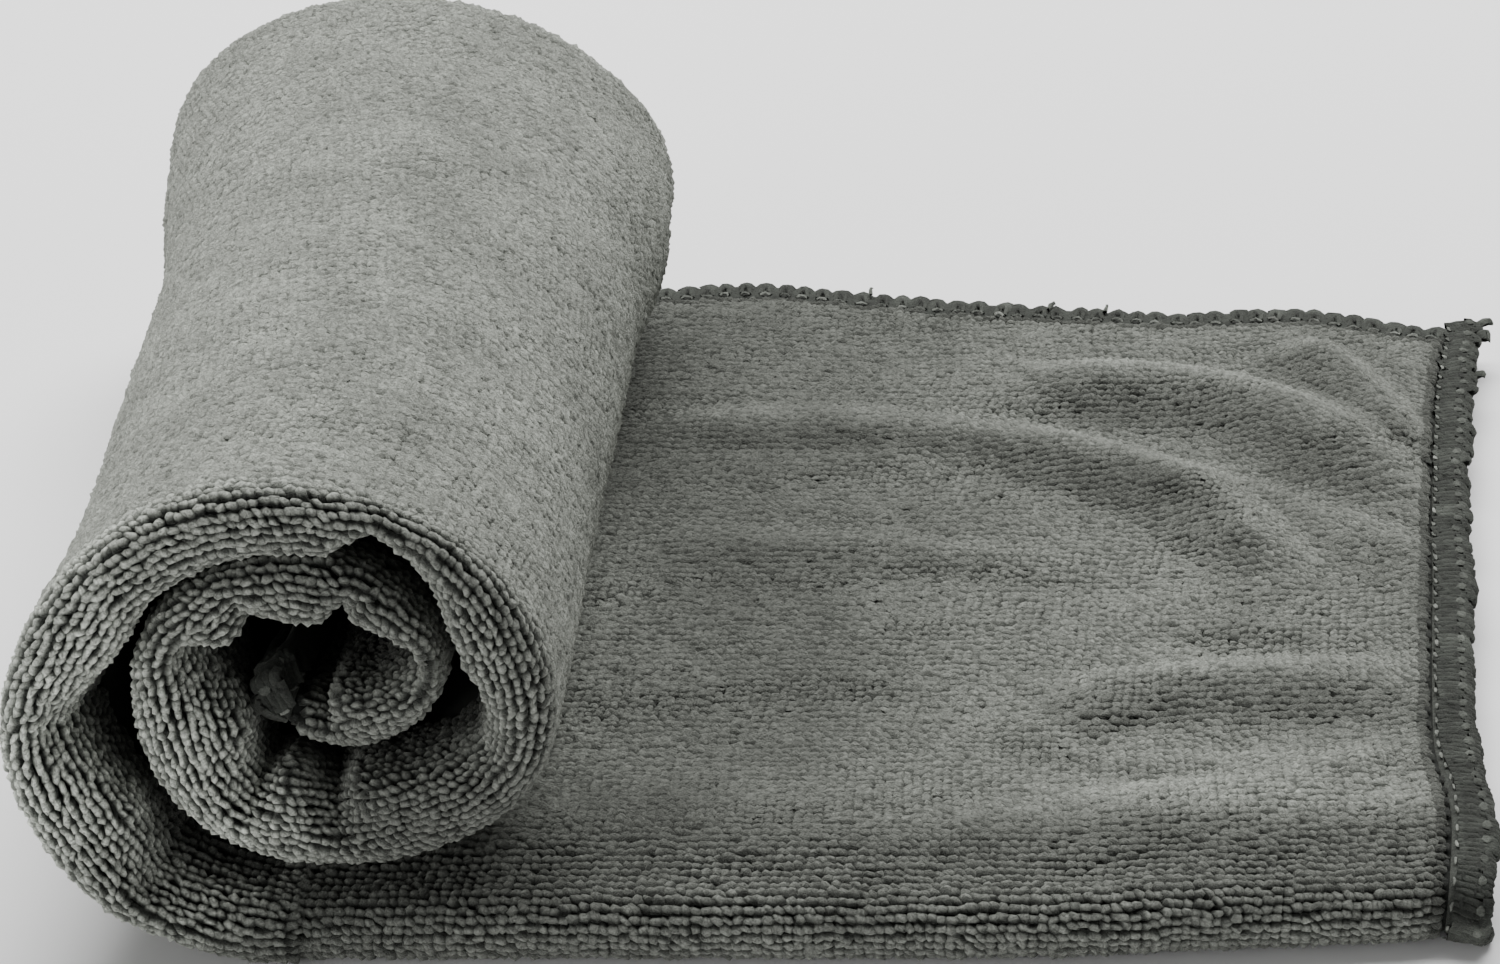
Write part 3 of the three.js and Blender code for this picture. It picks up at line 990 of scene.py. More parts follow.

# %% [markdown]
# ## Painted light and shade on the flat part
#
# Broad lighter and darker patches on the flat part are painted light and shade. Each is a soft
# oval with its own place and strength, set one by one: renders were held against the photograph,
# place by place, by their measured brightness. The shades by depth and by turn above were found in
# the same way. Slopes that face the front are painted darker, and slopes that face the back
# lighter, as painted shade and painted light.

# %% Painted light and shade
# Painted shade on slopes that face the front and painted light on slopes that face the back, within a
# range; then soft ovals of painted light and shade.
LIT_SLOPE_TOWARDS = (0.35, 0.94, 0.0)
FRONT_SLOPE_SHADE, BACK_SLOPE_LIGHT = 1.8, 0.8
SLOPE_LIGHT_RANGE = (0.5, 1.3)
LIGHT_AND_SHADE_PATCHES = table("x y wide deep change", [
    (33, 70, 11, 42, 0.85),
    (22, 14, 14, 14, 1.0),
    (66, 105, 24, 100, -0.36),
    (40, 92, 8, 34, 0.35),
    (50, 143, 8, 10, 0.25),
    (75, 180, 36, 8, -0.25),
    (66, 130, 12, 9, -0.2),
    (88, 113, 14, 7, -0.22),
    (64, 86, 9, 9, -0.25),
    (79, 63, 8, 9, -0.25),
    (68, 43, 10, 8, -0.25),
    (28, 70, 6, 22, 0.3),
    (50, 27, 17, 8, -0.6),
    (132, 28, 22, 8, 0.95),
    (148, 102, 18, 12, 0.3),
    (134, 68, 34, 36, 0.25),
    (116, 52, 9, 5, 0.35),
    (114, 126, 9, 5, 0.35),
    (132, 160, 26, 18, 0.25),
    (140, 146, 14, 8, 0.2),
    (97, 60, 9, 14, 0.15),
])


def painted_light_and_shade(row, column):
    """How much painted light and shade lightens or darkens each loop, by slope and in soft ovals."""
    facing = sample(GRID_DIRECTIONS[2], row, column) @ np.array(LIT_SLOPE_TOWARDS)
    level = np.clip(1 + np.where(facing < 0, FRONT_SLOPE_SHADE, BACK_SLOPE_LIGHT) * facing, *SLOPE_LIGHT_RANGE)
    x, y, _ = (sample(grid_points, row, column) + np.array([*BOX_MIDDLE, 0.0])).T
    for patch_x, patch_y, wide, deep, change in zip(*LIGHT_AND_SHADE_PATCHES.values()):
        away = ((x - patch_x) / wide) ** 2 + ((y - patch_y) / deep) ** 2
        level = level * (1 + change * np.exp(-away))
    return level


print("patches of nap:", len(LIGHT_AND_SHADE_PATCHES["x"]))

# %% Look of each loop
# DARK_FROM, DARK_FULL and DARKEST paint shade on loops deep inside the winding.
DARK_FROM = 3.0
DARK_FULL = 12.0
DARKEST = 0.06
# SEAM_SHADE and SEAM_REACH paint shade on the loops in the trough beside an edging seam.
SEAM_SHADE = 0.12
SEAM_REACH = 2.4
INSIDE_TURN = 0.02


def edge_distance(row, column):
    """How far each loop stands from the nearest edging."""
    length = cumulative(grid_points, 0)
    around = cumulative(grid_points, 1)
    distances = length, length[-1:] - length, around, around[:, -1:] - around
    return np.minimum.reduce([sample(grid, row, column) for grid in distances])


def looks(row, column):
    """Length and width of each loop; its softness, plainness and shade; its openness and slant."""
    _, depth, back, turn, top = loop_facts(row, column)
    roll = soft_step(*CREST_LOOK, depth) * (turn > 0) * ~top * (turn < SHOWN_TURN)
    flat = soft_step(*FOLD_LOOK, depth) * (turn <= 0)
    ring = soft_step(*RING_LOOK, turn) * (1 - roll)
    parts = np.stack([1 - roll - flat - ring, ring, roll, flat])
    length, width, soft, plain, opened, slant = (values @ parts for values in LOOKS.values())
    # Painted shade: loops deep inside the winding are painted darker, down to DARKEST.
    inside = (turn > INSIDE_TURN) & (top | (turn > SHOWN_TURN))
    deep = soft_step(DARK_FROM, DARK_FULL, np.minimum(depth, back + DARK_FROM)) * inside
    # Painted shade: loops next to the seam of an edging are painted darker, down to SEAM_SHADE.
    seam = soft_step(SEAM_REACH, 0.0, edge_distance(row, column)) * (turn <= 0)
    # Painted light and shade: by turn on the ring, by depth on the flat part and the fold, and on the
    # flat part by slope and in soft ovals.
    wound = mix(1.0, curve(RING_SHADE, "turn", "shade", turn), ring)
    level = np.where(turn > 0, wound, curve(FLAT_SHADE, "depth", "shade", depth))
    level = level * mix(1.0, painted_light_and_shade(row, column), flat)
    shade = level * mix(1.0, DARKEST, deep) * mix(1.0, SEAM_SHADE, seam)
    look = np.stack([soft, plain, shade], axis=-1)
    return np.stack([length, width], axis=-1), look, np.stack([opened, slant], axis=-1)


print("looks of one loop:", looks(loops[:1, 0], loops[:1, 1]))

# %% Stand of each loop
LEAN_PATCH = 22.0
LEAN_SOFT = 0.28
LEAN_OWN = 0.16
TWIST = 0.22
SHIFT = 0.08
SIZE_RANGE = (0.1, 0.12, 0.1)
SHADE_RANGE = 0.08
WANDER = 0.22
WANDER_LENGTH = 7.0
OPEN_PATCH = 13.0
OPEN_FROM, OPEN_FULL = 0.1, 0.8
OPEN_SMALLER = 0.36
RELIEF = 0.14
RELIEF_LENGTH = 4.5


def stand(rows, columns, seed):
    """Root of each loop, and the vectors that its copy follows."""
    random = np.random.default_rng(seed)
    count = len(rows)
    along, across, out = (sample(grid, rows, columns) for grid in GRID_DIRECTIONS)
    root = sample(grid_points, rows, columns)
    root = root + along * random.normal(0, SHIFT, (count, 1))
    root = root + across * random.normal(0, SHIFT, (count, 1))
    root = root + across * WANDER * soft_patches(root, WANDER_LENGTH, 5)[:, None]
    lean_along = LEAN_SOFT * soft_patches(root, LEAN_PATCH, 3) + random.normal(0, LEAN_OWN, count)
    lean_across = LEAN_SOFT * soft_patches(root, LEAN_PATCH, 4) + random.normal(0, LEAN_OWN, count)
    aim = unit(out + along * lean_along[:, None] + across * lean_across[:, None])
    run = unit(along + across * random.normal(0, TWIST, (count, 1)))
    shape, look, stance = looks(rows, columns)
    run = unit(run + across * stance[:, 1:])
    opened = stance[:, 0] * soft_step(OPEN_FROM, OPEN_FULL, soft_patches(root, OPEN_PATCH, 6))
    look[:, 2] *= 1 + SHADE_RANGE * random.normal(size=count).clip(-2, 2)
    size = 1 + np.array(SIZE_RANGE) * random.normal(size=(count, 3)).clip(-2, 2)
    size[:, :2] *= shape * (1 - OPEN_SMALLER * opened)[:, None]
    tilt = [RELIEF * soft_patches(root, RELIEF_LENGTH, seed)[:, None] for seed in (7, 8)]
    cloth = unit(out + along * tilt[0] + across * tilt[1])
    return root, (aim, run, size, cloth, look)


# %% [markdown]
# ## The loop, and its copies
#
# A loop of microfibre is a soft rounded grain, a little longer than it is wide, with its root
# sunk in the ground. Displacement can't make it, because loops overhang, and hair has no body
# when seen this near. Geometry Nodes makes one loop of a few faces from a small sphere and copies
# it to every root. The height in the loop is stored as "tip", which the pile's material reads.

# %% Geometry Nodes helpers
def new_tree(name, numbers):
    """A node tree with geometry in and out, and its inputs by name."""
    tree = bpy.data.node_groups.new(name, "GeometryNodeTree")
    tree.interface.new_socket("Geometry", in_out="INPUT", socket_type="NodeSocketGeometry")
    tree.interface.new_socket("Geometry", in_out="OUTPUT", socket_type="NodeSocketGeometry")
    for label in numbers:
        number_socket(tree, label, "INPUT")
    tree.interface.new_socket("Material", in_out="INPUT", socket_type="NodeSocketMaterial")
    return tree, add_node(tree, "NodeGroupInput").outputs


def named_vector(tree, name):
    node = add_node(
        tree, "GeometryNodeInputNamedAttribute", {"Name": name}, data_type="FLOAT_VECTOR"
    )
    return node.outputs["Attribute"]


def stored(tree, geometry, name, value):
    """Stores one number on a shape."""
    values = {"Geometry": geometry, "Name": name, "Value": value}
    return add_node(tree, "GeometryNodeStoreNamedAttribute", values).outputs["Geometry"]


# %% Copies on points
RUFFLE_SCALE = 1300.0


def ruffled(tree, amount):
    """A small offset, different at every corner of every loop, so that no two look alike."""
    texture = add_node(tree, "ShaderNodeTexNoise", {"Scale": RUFFLE_SCALE, "Detail": 1.0})
    spread = {0: texture.outputs["Color"], 1: (0.5, 0.5, 0.5)}
    centred = add_node(tree, "ShaderNodeVectorMath", spread, operation="SUBTRACT").outputs[0]
    scaled = {0: centred, "Scale": amount}
    return add_node(tree, "ShaderNodeVectorMath", scaled, operation="SCALE").outputs[0]


def copied(tree, start, shape):
    """Copies a shape to every point, turned and sized by the vectors there, and ruffles it."""
    axes = {0: named_vector(tree, "aim"), 1: named_vector(tree, "run")}
    turn = add_node(
        tree, "FunctionNodeAxesToRotation", axes, primary_axis="Z", secondary_axis="X"
    )
    copies = add_node(tree, "GeometryNodeInstanceOnPoints", {
        "Points": start["Geometry"],
        "Instance": shape,
        "Rotation": turn.outputs[0],
        "Scale": named_vector(tree, "size"),
    })
    realized = add_node(
        tree, "GeometryNodeRealizeInstances", {"Geometry": copies.outputs["Instances"]}
    )
    moved = add_node(tree, "GeometryNodeSetPosition", {
        "Geometry": realized.outputs["Geometry"],
        "Offset": ruffled(tree, start["Ruffle"]),
    })
    finish = add_node(tree, "GeometryNodeSetMaterial", {
        "Geometry": moved.outputs["Geometry"],
        "Material": start["Material"],
    })
    add_node(tree, "NodeGroupOutput", {"Geometry": finish.outputs["Geometry"]})


# %% Points, and the plain mesh that comes of them
CARRIED = ("aim", "run", "size", "cloth", "look")


def point_carrier(name, points, attributes):
    """An object of loose points in metres, with named vectors on them."""
    mesh = bpy.data.meshes.new(name)
    mesh.vertices.add(len(points))
    mesh.vertices.foreach_set("co", (points * MM).ravel())
    for label, values in attributes.items():
        vectors = mesh.attributes.new(label, "FLOAT_VECTOR", "POINT")
        vectors.data.foreach_set("vector", np.ascontiguousarray(values).ravel())
    return new_object(name, mesh)


def run_tree(name, carrier, tree, values):
    """Runs a node tree on a carrier object and keeps its result as a plain mesh."""
    modifier = carrier.modifiers.new("build", "NODES")
    modifier.node_group = tree
    for item in tree.interface.items_tree:
        if item.in_out == "INPUT" and item.name in values:
            modifier[item.identifier] = values[item.name]
    depsgraph = bpy.context.evaluated_depsgraph_get()
    mesh = bpy.data.meshes.new_from_object(carrier.evaluated_get(depsgraph))
    mesh.name = name
    bpy.data.objects.remove(carrier)
    return new_object(name, mesh)


# %% From copies to a finished piece
def read_vectors(data, label="vector"):
    values = np.empty(len(data) * 3)
    data.foreach_get(label, values)
    return values.reshape(-1, 3)


def press(mesh):
    """Flattens what would reach under the surface that the towel lies on."""
    points = read_vectors(mesh.vertices, "co")
    points[:, 2] = np.maximum(points[:, 2], 0.0)
    mesh.vertices.foreach_set("co", points.ravel())


def settle(mesh, height_name):
    """Softens the shading of copied pieces and keeps only what their material reads.

    Their shading turns part of the way to that of the cloth under them, by the first number of
    "look". The second number makes them plainer: it lifts their darker parts, which lessens the
    painted shade at the roots of loops and paints glints on some stitches. The third is their
    shade, which carries the loops' painted light and shade.
    """
    press(mesh)
    soft, plain, shade = read_vectors(mesh.attributes["look"].data).T
    own = read_vectors(mesh.vertex_normals)
    cloth = read_vectors(mesh.attributes["cloth"].data)
    blended = unit(mix(own, cloth, soft[:, None]))
    height = np.empty(len(soft))
    mesh.attributes[height_name].data.foreach_get("value", height)
    mesh.attributes[height_name].data.foreach_set("value", 1 - (1 - height) * (1 - plain))
    for label in CARRIED:
        mesh.attributes.remove(mesh.attributes[label])
    float_attribute(mesh, "shade", shade)
    mesh.polygons.foreach_set("use_smooth", np.ones(len(mesh.polygons), bool))
    mesh.normals_split_custom_set_from_vertices(blended)


def copies_piece(name, points, vectors, tree, values, height_name):
    """A mesh of copies at points, with the vectors of CARRIED in their order."""
    carrier = point_carrier(name + "_roots", points, dict(zip(CARRIED, vectors)))
    piece = run_tree(name, carrier, tree, values)
    settle(piece.data, height_name)
    print(name, len(points), "copies")
    return piece


# %% Loop tree
LOOP_SEGMENTS = 6
LOOP_RINGS = 4
LOOP_CUT = -0.1
LOOP_SIZE = {
    "Length": 1.0 * MM,
    "Width": 0.7 * MM,
    "Height": 1.5 * MM,
    "Sunk": 0.2 * MM,
    "Ruffle": 0.9 * MM,
}


def upper_grain(tree):
    """The upper part of a small sphere, with its height stored as the loop's tip."""
    form = {"Segments": LOOP_SEGMENTS, "Rings": LOOP_RINGS, "Radius": 1.0}
    sphere = add_node(tree, "GeometryNodeMeshUVSphere", form).outputs["Mesh"]
    position = add_node(tree, "GeometryNodeInputPosition").outputs[0]
    upward = add_node(tree, "ShaderNodeSeparateXYZ", {0: position}).outputs["Z"]
    limit = {"A": upward, "B": LOOP_CUT}
    below = add_node(tree, "FunctionNodeCompare", limit, operation="LESS_THAN").outputs["Result"]
    rest = {"Geometry": sphere, "Selection": below}
    cut = add_node(tree, "GeometryNodeDeleteGeometry", rest).outputs["Geometry"]
    return stored(tree, cut, "tip", upward)


def loop_tree():
    tree, start = new_tree("loops", LOOP_SIZE)
    sides = {axis: start[label] for axis, label in zip("XYZ", LOOP_SIZE)}
    size = add_node(tree, "ShaderNodeCombineXYZ", sides).outputs[0]
    sunk = add_node(tree, "ShaderNodeMath", {0: start["Sunk"], 1: -1.0}, operation="MULTIPLY")
    lift = add_node(tree, "ShaderNodeCombineXYZ", {"Z": sunk.outputs[0]}).outputs[0]
    placed = {"Geometry": upper_grain(tree), "Scale": size, "Translation": lift}
    copied(tree, start, add_node(tree, "GeometryNodeTransform", placed).outputs["Geometry"])
    return tree


LOOP_TREE = loop_tree()
print("nodes of a loop:", len(LOOP_TREE.nodes))


def make_pile(name, chosen, seed):
    root, vectors = stand(*loops[chosen].T, seed)
    values = {**LOOP_SIZE, "Material": PILE}
    return fasten(copies_piece(name, root, vectors, LOOP_TREE, values, "tip"))


# %% [markdown]
# ## The pile in seven pieces
#
# The pile is parted where the eye doesn't look for a joint: the flat top in two, the front fold
# in two, and the roll in three strips round it.

# %% Pile pieces
FRONT_DEPTH = 16.0
FLAT_MIDDLE = 0.5
FOLD_PARTED = 0.4
ROLL_PARTED = (0.42, 0.66)


def pile_parts():
    """Which loops go into each piece."""
    place, depth, _, turn, _ = loop_facts(*loops.T)
    front = depth < FRONT_DEPTH
    flat = turn <= 0.0
    near_roll = place > FLAT_MIDDLE
    left = turn <= ROLL_PARTED[0]
    right = turn > ROLL_PARTED[1]
    return {
        "pile_flat_right": flat & ~front & ~near_roll,
        "pile_flat_left": flat & ~front & near_roll,
        "pile_front_flat": front & (turn <= FOLD_PARTED),
        "pile_front_roll": front & (turn > FOLD_PARTED),
        "pile_roll_left": ~front & ~flat & left,
        "pile_roll_top": ~front & ~left & ~right,
        "pile_roll_right": ~front & right,
    }


piles = [make_pile(name, chosen, seed) for seed, (name, chosen) in enumerate(pile_parts().items())]

# %% [markdown]
# ## The bands of the edging
#
# All four raw edges are overlocked. The needle holds a seam near the pile, and looper threads
# lie across the band and lock round the edge, which they draw together into a rounded rim that
# runs a little in and out. A curve with a bevel would need its own path beside the cloth. Each
# band is instead the rim of the cloth under those threads, built along its edge by the same
# functions as the cloth, so it can't leave it.

# %% Sizes of the bands
BAND_RIM = table("cut inset", [
    (6.0, 0.9),
    (5.2, 0.55),
    (3.4, 0.45),
    (1.7, 0.5),
    (0.7, 0.8),
    (0.3, 1.5),
    (0.7, 2.3),
    (1.7, 2.6),
    (3.4, 2.65),
    (6.0, 2.5),
])
BAND_GAP = 0.3
BAND_ACROSS = (70, 24)
BAND_PLACES = (60, (90, 70, 56))
SIDE_CUT = 5.9
BAND_TONE = 0.2
# How high and long each wave is, and its seed.
RIM_WAVE = (0.4, 10.0, 8)
SEAM_WAVE = (0.3, 16.0, 9)
WAVE_REACH = 4.0
INNER_END = 1.0 + TURNS_FRONT
print("points across a band:", len(BAND_RIM["cut"]))

# %% Lines along the four edges
def end_line(end_place, cut, inset):
    """A line along an end: under the cloth, round the fold and back over the cloth."""
    place = np.array([[end_place]])
    y, height = face_outline(place, inset, (cut, BAND_GAP), BAND_ACROSS)
    y, height = pleated(place, y, height, thickness(place, y, cut), cut)
    return in_space(place, y, height, cut)[0]


def side_line(top, distance, inset):
    """A line along the open edge of the top or the under layer."""
    place = places(*BAND_PLACES)
    y = back_at(place, SIDE_CUT) - distance
    height = thickness(place, y, SIDE_CUT) - inset if top else np.full_like(y, inset)
    return in_space(place, y, height, SIDE_CUT)[:, 0]


EDGES = {
    "end": ("end_edging", partial(end_line, 0.0)),
    "start": ("start_edging", partial(end_line, INNER_END)),
    "under": ("side_edging_under", partial(side_line, False)),
    "top": ("side_edging_top", partial(side_line, True)),
}
print("edges:", list(EDGES))

# %% Bands
def edge_wave(seam, wave):
    """How far an edge runs in and out along its seam."""
    high, length, seed = wave
    return high * soft_patches(seam, length, seed)[:, None]


def make_band(edge, node, line):
    """The rim of the cloth along one edge."""
    cuts = BAND_RIM["cut"]
    rim = np.stack([line(*spot) for spot in zip(cuts, BAND_RIM["inset"])], axis=1)
    outward = unit(rim[:, 3] - rim[:, 1]) * edge_wave(rim[:, 1], RIM_WAVE)
    rim = rim + outward[:, None] * soft_step(WAVE_REACH, 0.0, cuts)[None, :, None]
    piece = new_piece(edge + "_band", rim, closed_faces(rim), YARN)
    count = rim.shape[0] * rim.shape[1]
    float_attribute(piece.data, "tone", np.full(count, BAND_TONE))
    float_attribute(piece.data, "shade", np.ones(count))
    return fasten(piece, node)


bands = [make_band(edge, node, line) for edge, (node, line) in EDGES.items()]

# %% [markdown]
# ## One overlock stitch, and its copies
#
# A stitch is one light dash of needle thread on the seam with its hole, looper threads laid
# across the band, a locking knot near the edge, and threads that go round the rim. Its hole and
# the dents between threads are dark beads of painted shade, and its knot is painted lighter as a
# painted glint. Along the open sides the needle thread is a small arc, and the rim stands out in
# one scallop for each stitch.
# Geometry Nodes builds both kinds flat, with X along the edge, Y towards the rim and Z out of the
# cloth, and copies them along each seam, so that one table of threads serves hundreds of
# stitches.

# %% Threads and beads
STRAND_STEPS = 4
STRAND_SIDES = 5
BEAD_SEGMENTS = 7
BEAD_RINGS = 4


def strand(tree, points, radius, tone):
    """A thread bent through three points."""
    bends = [[v * MM for v in point] for point in points]
    path = dict(zip(("Start", "Middle", "End"), bends), Resolution=STRAND_STEPS)
    ring = {"Resolution": STRAND_SIDES, "Radius": radius * MM}
    tube = add_node(tree, "GeometryNodeCurveToMesh", {
        "Curve": add_node(tree, "GeometryNodeCurveQuadraticBezier", path).outputs["Curve"],
        "Profile Curve": add_node(tree, "GeometryNodeCurvePrimitiveCircle", ring).outputs["Curve"],
    })
    return stored(tree, tube.outputs["Mesh"], "tone", tone)


def bead(tree, centre, size, tone):
    """A small ellipsoid: the part of a thread that stands out between two holes."""
    ball = {"Segments": BEAD_SEGMENTS, "Rings": BEAD_RINGS, "Radius": 0.5 * MM}
    sphere = add_node(tree, "GeometryNodeMeshUVSphere", ball).outputs["Mesh"]
    placed = {"Geometry": sphere, "Scale": size, "Translation": [v * MM for v in centre]}
    shape = add_node(tree, "GeometryNodeTransform", placed).outputs["Geometry"]
    return stored(tree, shape, "tone", tone)


# %% Stitch trees
def end_stitch(tree):
    """Needle dash, its hole and the dents in the looper threads as dark beads of painted shade, four
    looper threads, a knot painted lighter as a painted glint, and four rim threads.
    """
    return [
        bead(tree, (0.0, 0.0, 0.3), (1.4, 0.5, 0.34), 0.8),
        bead(tree, (0.3, -1.3, 0.0), (1.5, 0.9, 0.4), 0.0),
        strand(tree, ((-1.5, 0.3, 0.0), (-1.3, 2.3, 0.25), (-0.9, 4.3, 0.05)), 0.56, 0.26),
        strand(tree, ((-0.6, 0.3, 0.0), (-0.3, 2.3, 0.35), (0.0, 4.3, 0.05)), 0.58, 0.32),
        strand(tree, ((0.3, 0.3, 0.0), (0.6, 2.3, 0.3), (1.0, 4.3, 0.05)), 0.56, 0.27),
        strand(tree, ((1.3, 0.3, 0.0), (1.5, 2.3, 0.25), (1.9, 4.3, 0.05)), 0.54, 0.3),
        bead(tree, (1.0, 3.1, 0.5), (2.2, 0.9, 0.35), 0.06),
        bead(tree, (-0.3, 4.0, 0.6), (1.7, 1.4, 0.6), 0.6),
        bead(tree, (-0.9, 1.3, 0.5), (1.6, 0.8, 0.35), 0.12),
        strand(tree, ((-1.35, 4.0, 0.0), (-1.35, 5.5, 0.1), (-1.35, 4.9, -1.6)), 0.78, 0.28),
        strand(tree, ((-0.45, 4.0, 0.0), (-0.45, 5.6, 0.1), (-0.45, 5.0, -1.6)), 0.8, 0.31),
        strand(tree, ((0.45, 4.0, 0.0), (0.45, 5.6, 0.1), (0.45, 5.0, -1.6)), 0.8, 0.28),
        strand(tree, ((1.35, 4.0, 0.0), (1.35, 5.5, 0.1), (1.35, 4.9, -1.6)), 0.78, 0.3),
    ]


def side_stitch(tree):
    """Needle arc, its hole and a dent between the looper threads as dark beads of painted shade, two
    looper threads, and one scallop of the rim with its thread.
    """
    return [
        strand(tree, ((-0.95, -0.25, 0.05), (0.0, 0.4, 0.5), (0.95, -0.25, 0.05)), 0.2, 0.76),
        bead(tree, (0.0, -0.45, 0.0), (1.3, 0.6, 0.4), 0.0),
        strand(tree, ((-0.9, 0.1, 0.0), (-0.8, 1.3, 0.3), (-0.4, 2.4, 0.4)), 0.34, 0.28),
        strand(tree, ((0.9, 0.1, 0.0), (0.8, 1.3, 0.3), (0.4, 2.4, 0.4)), 0.34, 0.34),
        bead(tree, (0.0, 2.5, -0.45), (3.7, 3.4, 2.1), 0.3),
        bead(tree, (0.0, 1.9, 0.38), (0.55, 1.3, 0.4), 0.0),
        strand(tree, ((-1.7, 3.4, -0.5), (0.0, 4.9, 0.3), (1.7, 3.4, -0.5)), 0.35, 0.4),
    ]


def stitch_tree(name, parts):
    tree, start = new_tree(name, ["Ruffle"])
    join = add_node(tree, "GeometryNodeJoinGeometry")
    for part in parts(tree):
        tree.links.new(part, join.inputs["Geometry"])
    copied(tree, start, join.outputs["Geometry"])
    return tree


# Each kind has its node tree, the distance of its needle line from the edge, and its pitch.
END_STITCH = stitch_tree("end_overlock", end_stitch), 5.5, 3.6
SIDE_STITCH = stitch_tree("side_overlock", side_stitch), 4.5, 3.5
print("nodes of a stitch:", len(END_STITCH[0].nodes), len(SIDE_STITCH[0].nodes))

# %% Rows of stitches
STITCH_RANGE = (0.06, 0.02, 0.16)
STITCH_SHADE = 0.76
STITCH_SHADES = (0.75, 1.15)
STITCH_SOFT = 0.6
STITCH_TILT = 0.09
STITCH_SLIP = 0.05
STITCH_RUFFLE = 0.75
STITCH_REACH = 20.0
GLINTING_KNOTS = 0.12
KNOT_GLINT = (0.1, 0.3)
SEAM_INSET = 0.4
DEEP_INSET = 2.4
RIM_SPOT = (0.6, 0.5)
FIRST_STITCH, LAST_STITCH = 0.7, 0.5


def stitch_places(line, needle, pitch, seed):
    """Points on the needle seam at an even pitch, and the vectors of the stitches there."""
    random = np.random.default_rng(seed)
    lines = line(needle, SEAM_INSET), line(*RIM_SPOT), line(needle, DEEP_INSET)
    length = cumulative(lines[0][None], 1)[0]
    at = np.arange(FIRST_STITCH * pitch, length[-1] - LAST_STITCH * pitch, pitch)
    at = at + random.normal(0, STITCH_SLIP * pitch, len(at))
    seam, rim, deep = (
        np.stack([np.interp(at, length, values) for values in track.T], axis=-1) for track in lines
    )
    out = unit(seam - deep)
    rimward = unit(rim - seam)
    run = unit(np.cross(rimward, out) + rimward * random.normal(0, STITCH_TILT, (len(at), 1)))
    size = 1 + np.array(STITCH_RANGE) * random.normal(size=(len(at), 3)).clip(-2, 2)
    size[:, 1] += (edge_wave(seam, RIM_WAVE) - edge_wave(seam, SEAM_WAVE))[:, 0] / needle
    # Painted glints: some stitches are painted lighter, their knots most of all.
    light = random.uniform(size=len(at)) < GLINTING_KNOTS
    light = light * random.uniform(*KNOT_GLINT, len(at))
    shade = STITCH_SHADE * random.uniform(*STITCH_SHADES, len(at))
    look = np.stack([np.full(len(at), STITCH_SOFT), light, shade], axis=-1)
    return seam + rimward * edge_wave(seam, SEAM_WAVE), (out, run, size, out, look)


def sewn(name, points, vectors, tree):
    """Copies of threads as one piece."""
    values = {"Ruffle": STITCH_RUFFLE * MM, "Material": YARN}
    return fasten(copies_piece(name, points, vectors, tree, values, "tone"))


def make_stitches(edge, kind, seed, reach=None):
    """A row of stitches, or only those within reach of the front or the back."""
    tree, needle, pitch = kind
    seam, vectors = stitch_places(EDGES[edge][1], needle, pitch, seed)
    if reach:
        y = seam[:, 1] + BOX_MIDDLE[1]
        near = (y < reach) | (y > back_at(INNER_END, 0.0) - reach)
        seam = seam[near]
        vectors = [values[near] for values in vectors]
    return sewn(edge + "_stitches", seam, vectors, tree)


stitches = [
    make_stitches("end", END_STITCH, 21),
    make_stitches("start", END_STITCH, 22, STITCH_REACH),
    make_stitches("under", SIDE_STITCH, 23),
    make_stitches("top", SIDE_STITCH, 24),
]

# %% [markdown]
# ## Loose thread ends
#
# Where the overlocking was cut off at the far corner, short stubs of its threads stick out, and a
# few thin ends stand up along the far edge. Each is a copy of one short bent thread, with its
# place, heading and size in a row of a table.

# %% Thread ends
TAILS = table("x y z heading wide long light", [
    (191.4, 180.0, 7.2, 14.0, 1.3, 0.62, 0.3),
    (191.0, 176.4, 6.6, -16.0, 2.0, 0.55, 0.0),
    (188.2, 162.4, 6.6, -10.0, 1.2, 0.4, 0.0),
    (115.6, 184.2, 8.4, 60.0, 0.7, 0.4, 0.5),
    (125.4, 183.2, 8.4, 80.0, 0.6, 0.36, 0.5),
    (84.0, 189.6, 8.6, 100.0, 0.6, 0.36, 0.5),
])
TAIL_RISE = 0.35


def tail(tree):
    return [
        strand(tree, ((0.0, -1.0, 0.0), (0.0, 1.6, 0.4), (0.5, 3.0, 0.2)), 0.6, 0.3),
        bead(tree, (0.5, 3.0, 0.2), (1.1, 0.9, 1.0), 0.42),
    ]


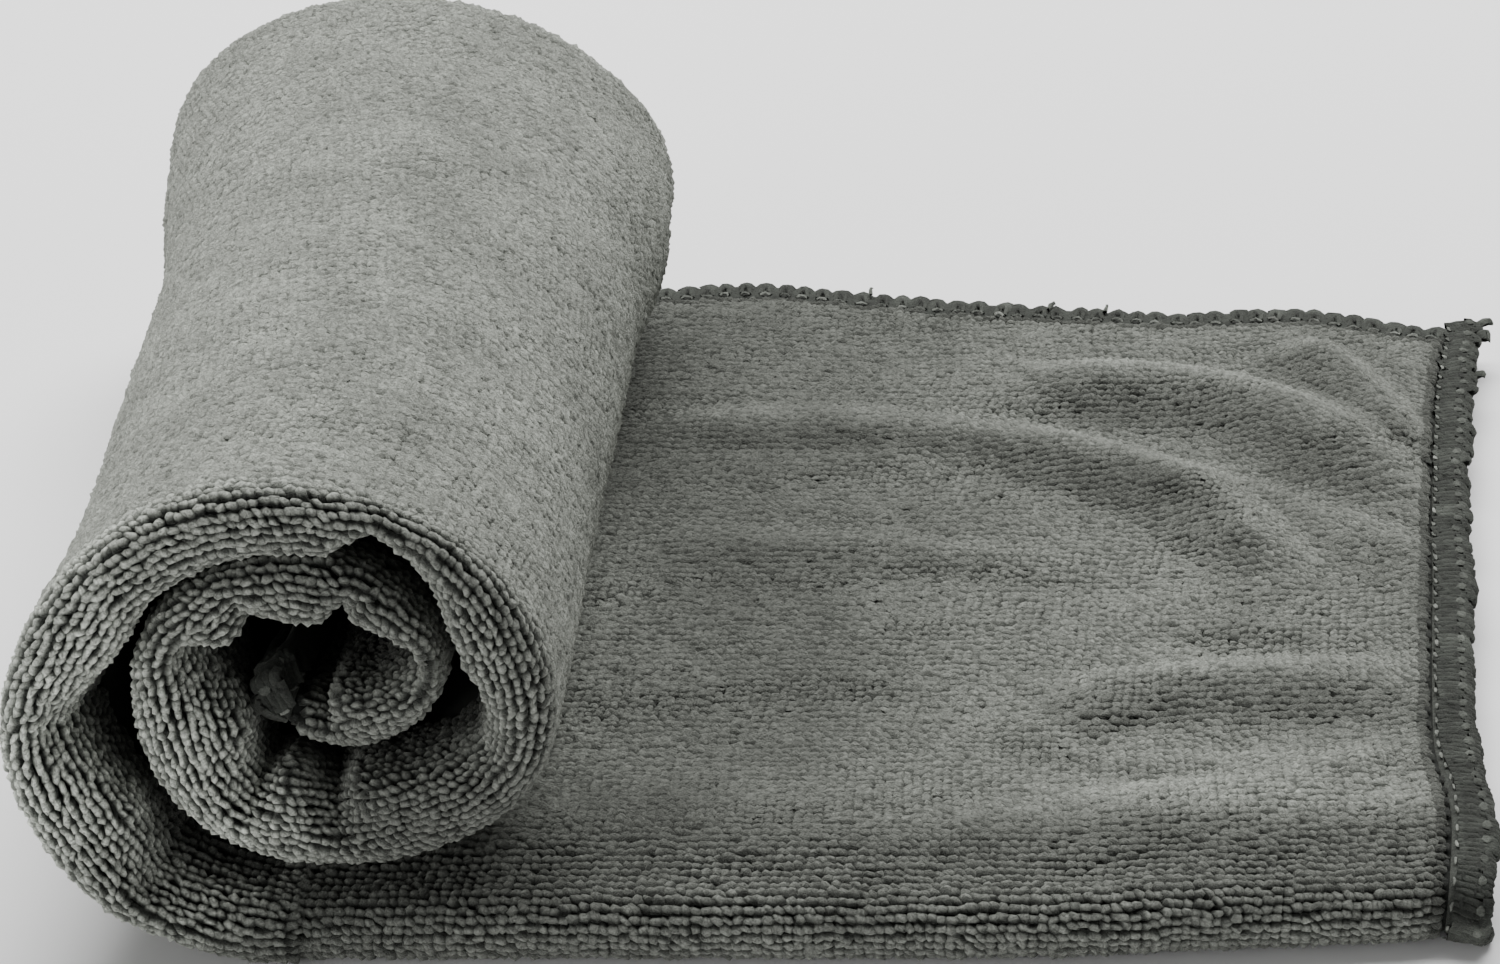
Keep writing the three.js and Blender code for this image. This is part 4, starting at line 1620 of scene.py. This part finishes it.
def make_tails():
    """Short ends of thread, each laid along its heading and a little upwards."""
    angle = np.radians(TAILS["heading"])
    flat = np.zeros_like(angle)
    ahead = np.stack([np.cos(angle), np.sin(angle), flat + TAIL_RISE], axis=-1)
    side = np.stack([np.sin(angle), -np.cos(angle), flat], axis=-1)
    up = unit(np.cross(side, ahead))
    place = np.stack([TAILS["x"] - BOX_MIDDLE[0], TAILS["y"] - BOX_MIDDLE[1], TAILS["z"]], axis=-1)
    size = np.stack([TAILS["wide"], TAILS["long"], TAILS["wide"]], axis=-1)
    look = np.stack([flat + STITCH_SOFT, TAILS["light"], flat + 1.0], axis=-1)
    return sewn("thread_ends", place, (up, side, size, up, look), stitch_tree("thread_end", tail))


tails = make_tails()

# %% [markdown]
# ## The sheet
#
# The towel is one piece of cloth, 400 by 500 mm when it is laid out. It is held folded and
# wound, and its pile and edging go with it.

# %% [markdown]
# ## Floor and light
#
# A plain pale floor and soft light, mostly from above and a little behind, as in a studio. A
# weaker low light from the left front reaches into the roll's mouth.

# %% Floor and light
FLOOR = (0.82, 0.82, 0.82, 1.0)
FLOOR_SIZE = 6000.0
WORLD_LIGHT = 0.16


def make_floor():
    material = bpy.data.materials.new("floor")
    material.use_nodes = True
    shader = material.node_tree.nodes["Principled BSDF"]
    shader.inputs["Base Color"].default_value = FLOOR
    shader.inputs["Roughness"].default_value = 0.9
    corners = [(x * FLOOR_SIZE, y * FLOOR_SIZE, 0.0) for x, y in ((-1, -1), (1, -1), (1, 1), (-1, 1))]
    new_piece("floor", corners, [(0, 1, 2, 3)], material)


def area_light(name, place, look_at, size, power):
    """A soft rectangle of light at a place in metres, turned to what it lights."""
    data = bpy.data.lights.new(name, "AREA")
    data.shape = "RECTANGLE"
    data.size, data.size_y = size
    data.energy = power
    light = new_object(name, data)
    light.location = place
    toward = [b - a for a, b in zip(place, look_at)]
    tilt = math.acos(-toward[2] / math.hypot(*toward))
    light.rotation_euler = (tilt, 0.0, math.atan2(-toward[0], toward[1]))
    print(name, power, "watts")


make_floor()
area_light("sky_light", (0.02, 0.55, 1.08), (0.0, 0.0, 0.0), (1.3, 0.9), 41.0)
area_light("front_light", (-1.05, -0.95, 0.32), (-0.03, 0.0, 0.03), (1.2, 0.5), 11.0)
world = bpy.data.worlds.new("world")
world.use_nodes = True
sky = world.node_tree.nodes["Background"]
sky.inputs["Color"].default_value = (1.0, 1.0, 1.0, 1.0)
sky.inputs["Strength"].default_value = WORLD_LIGHT
bpy.context.scene.world = world
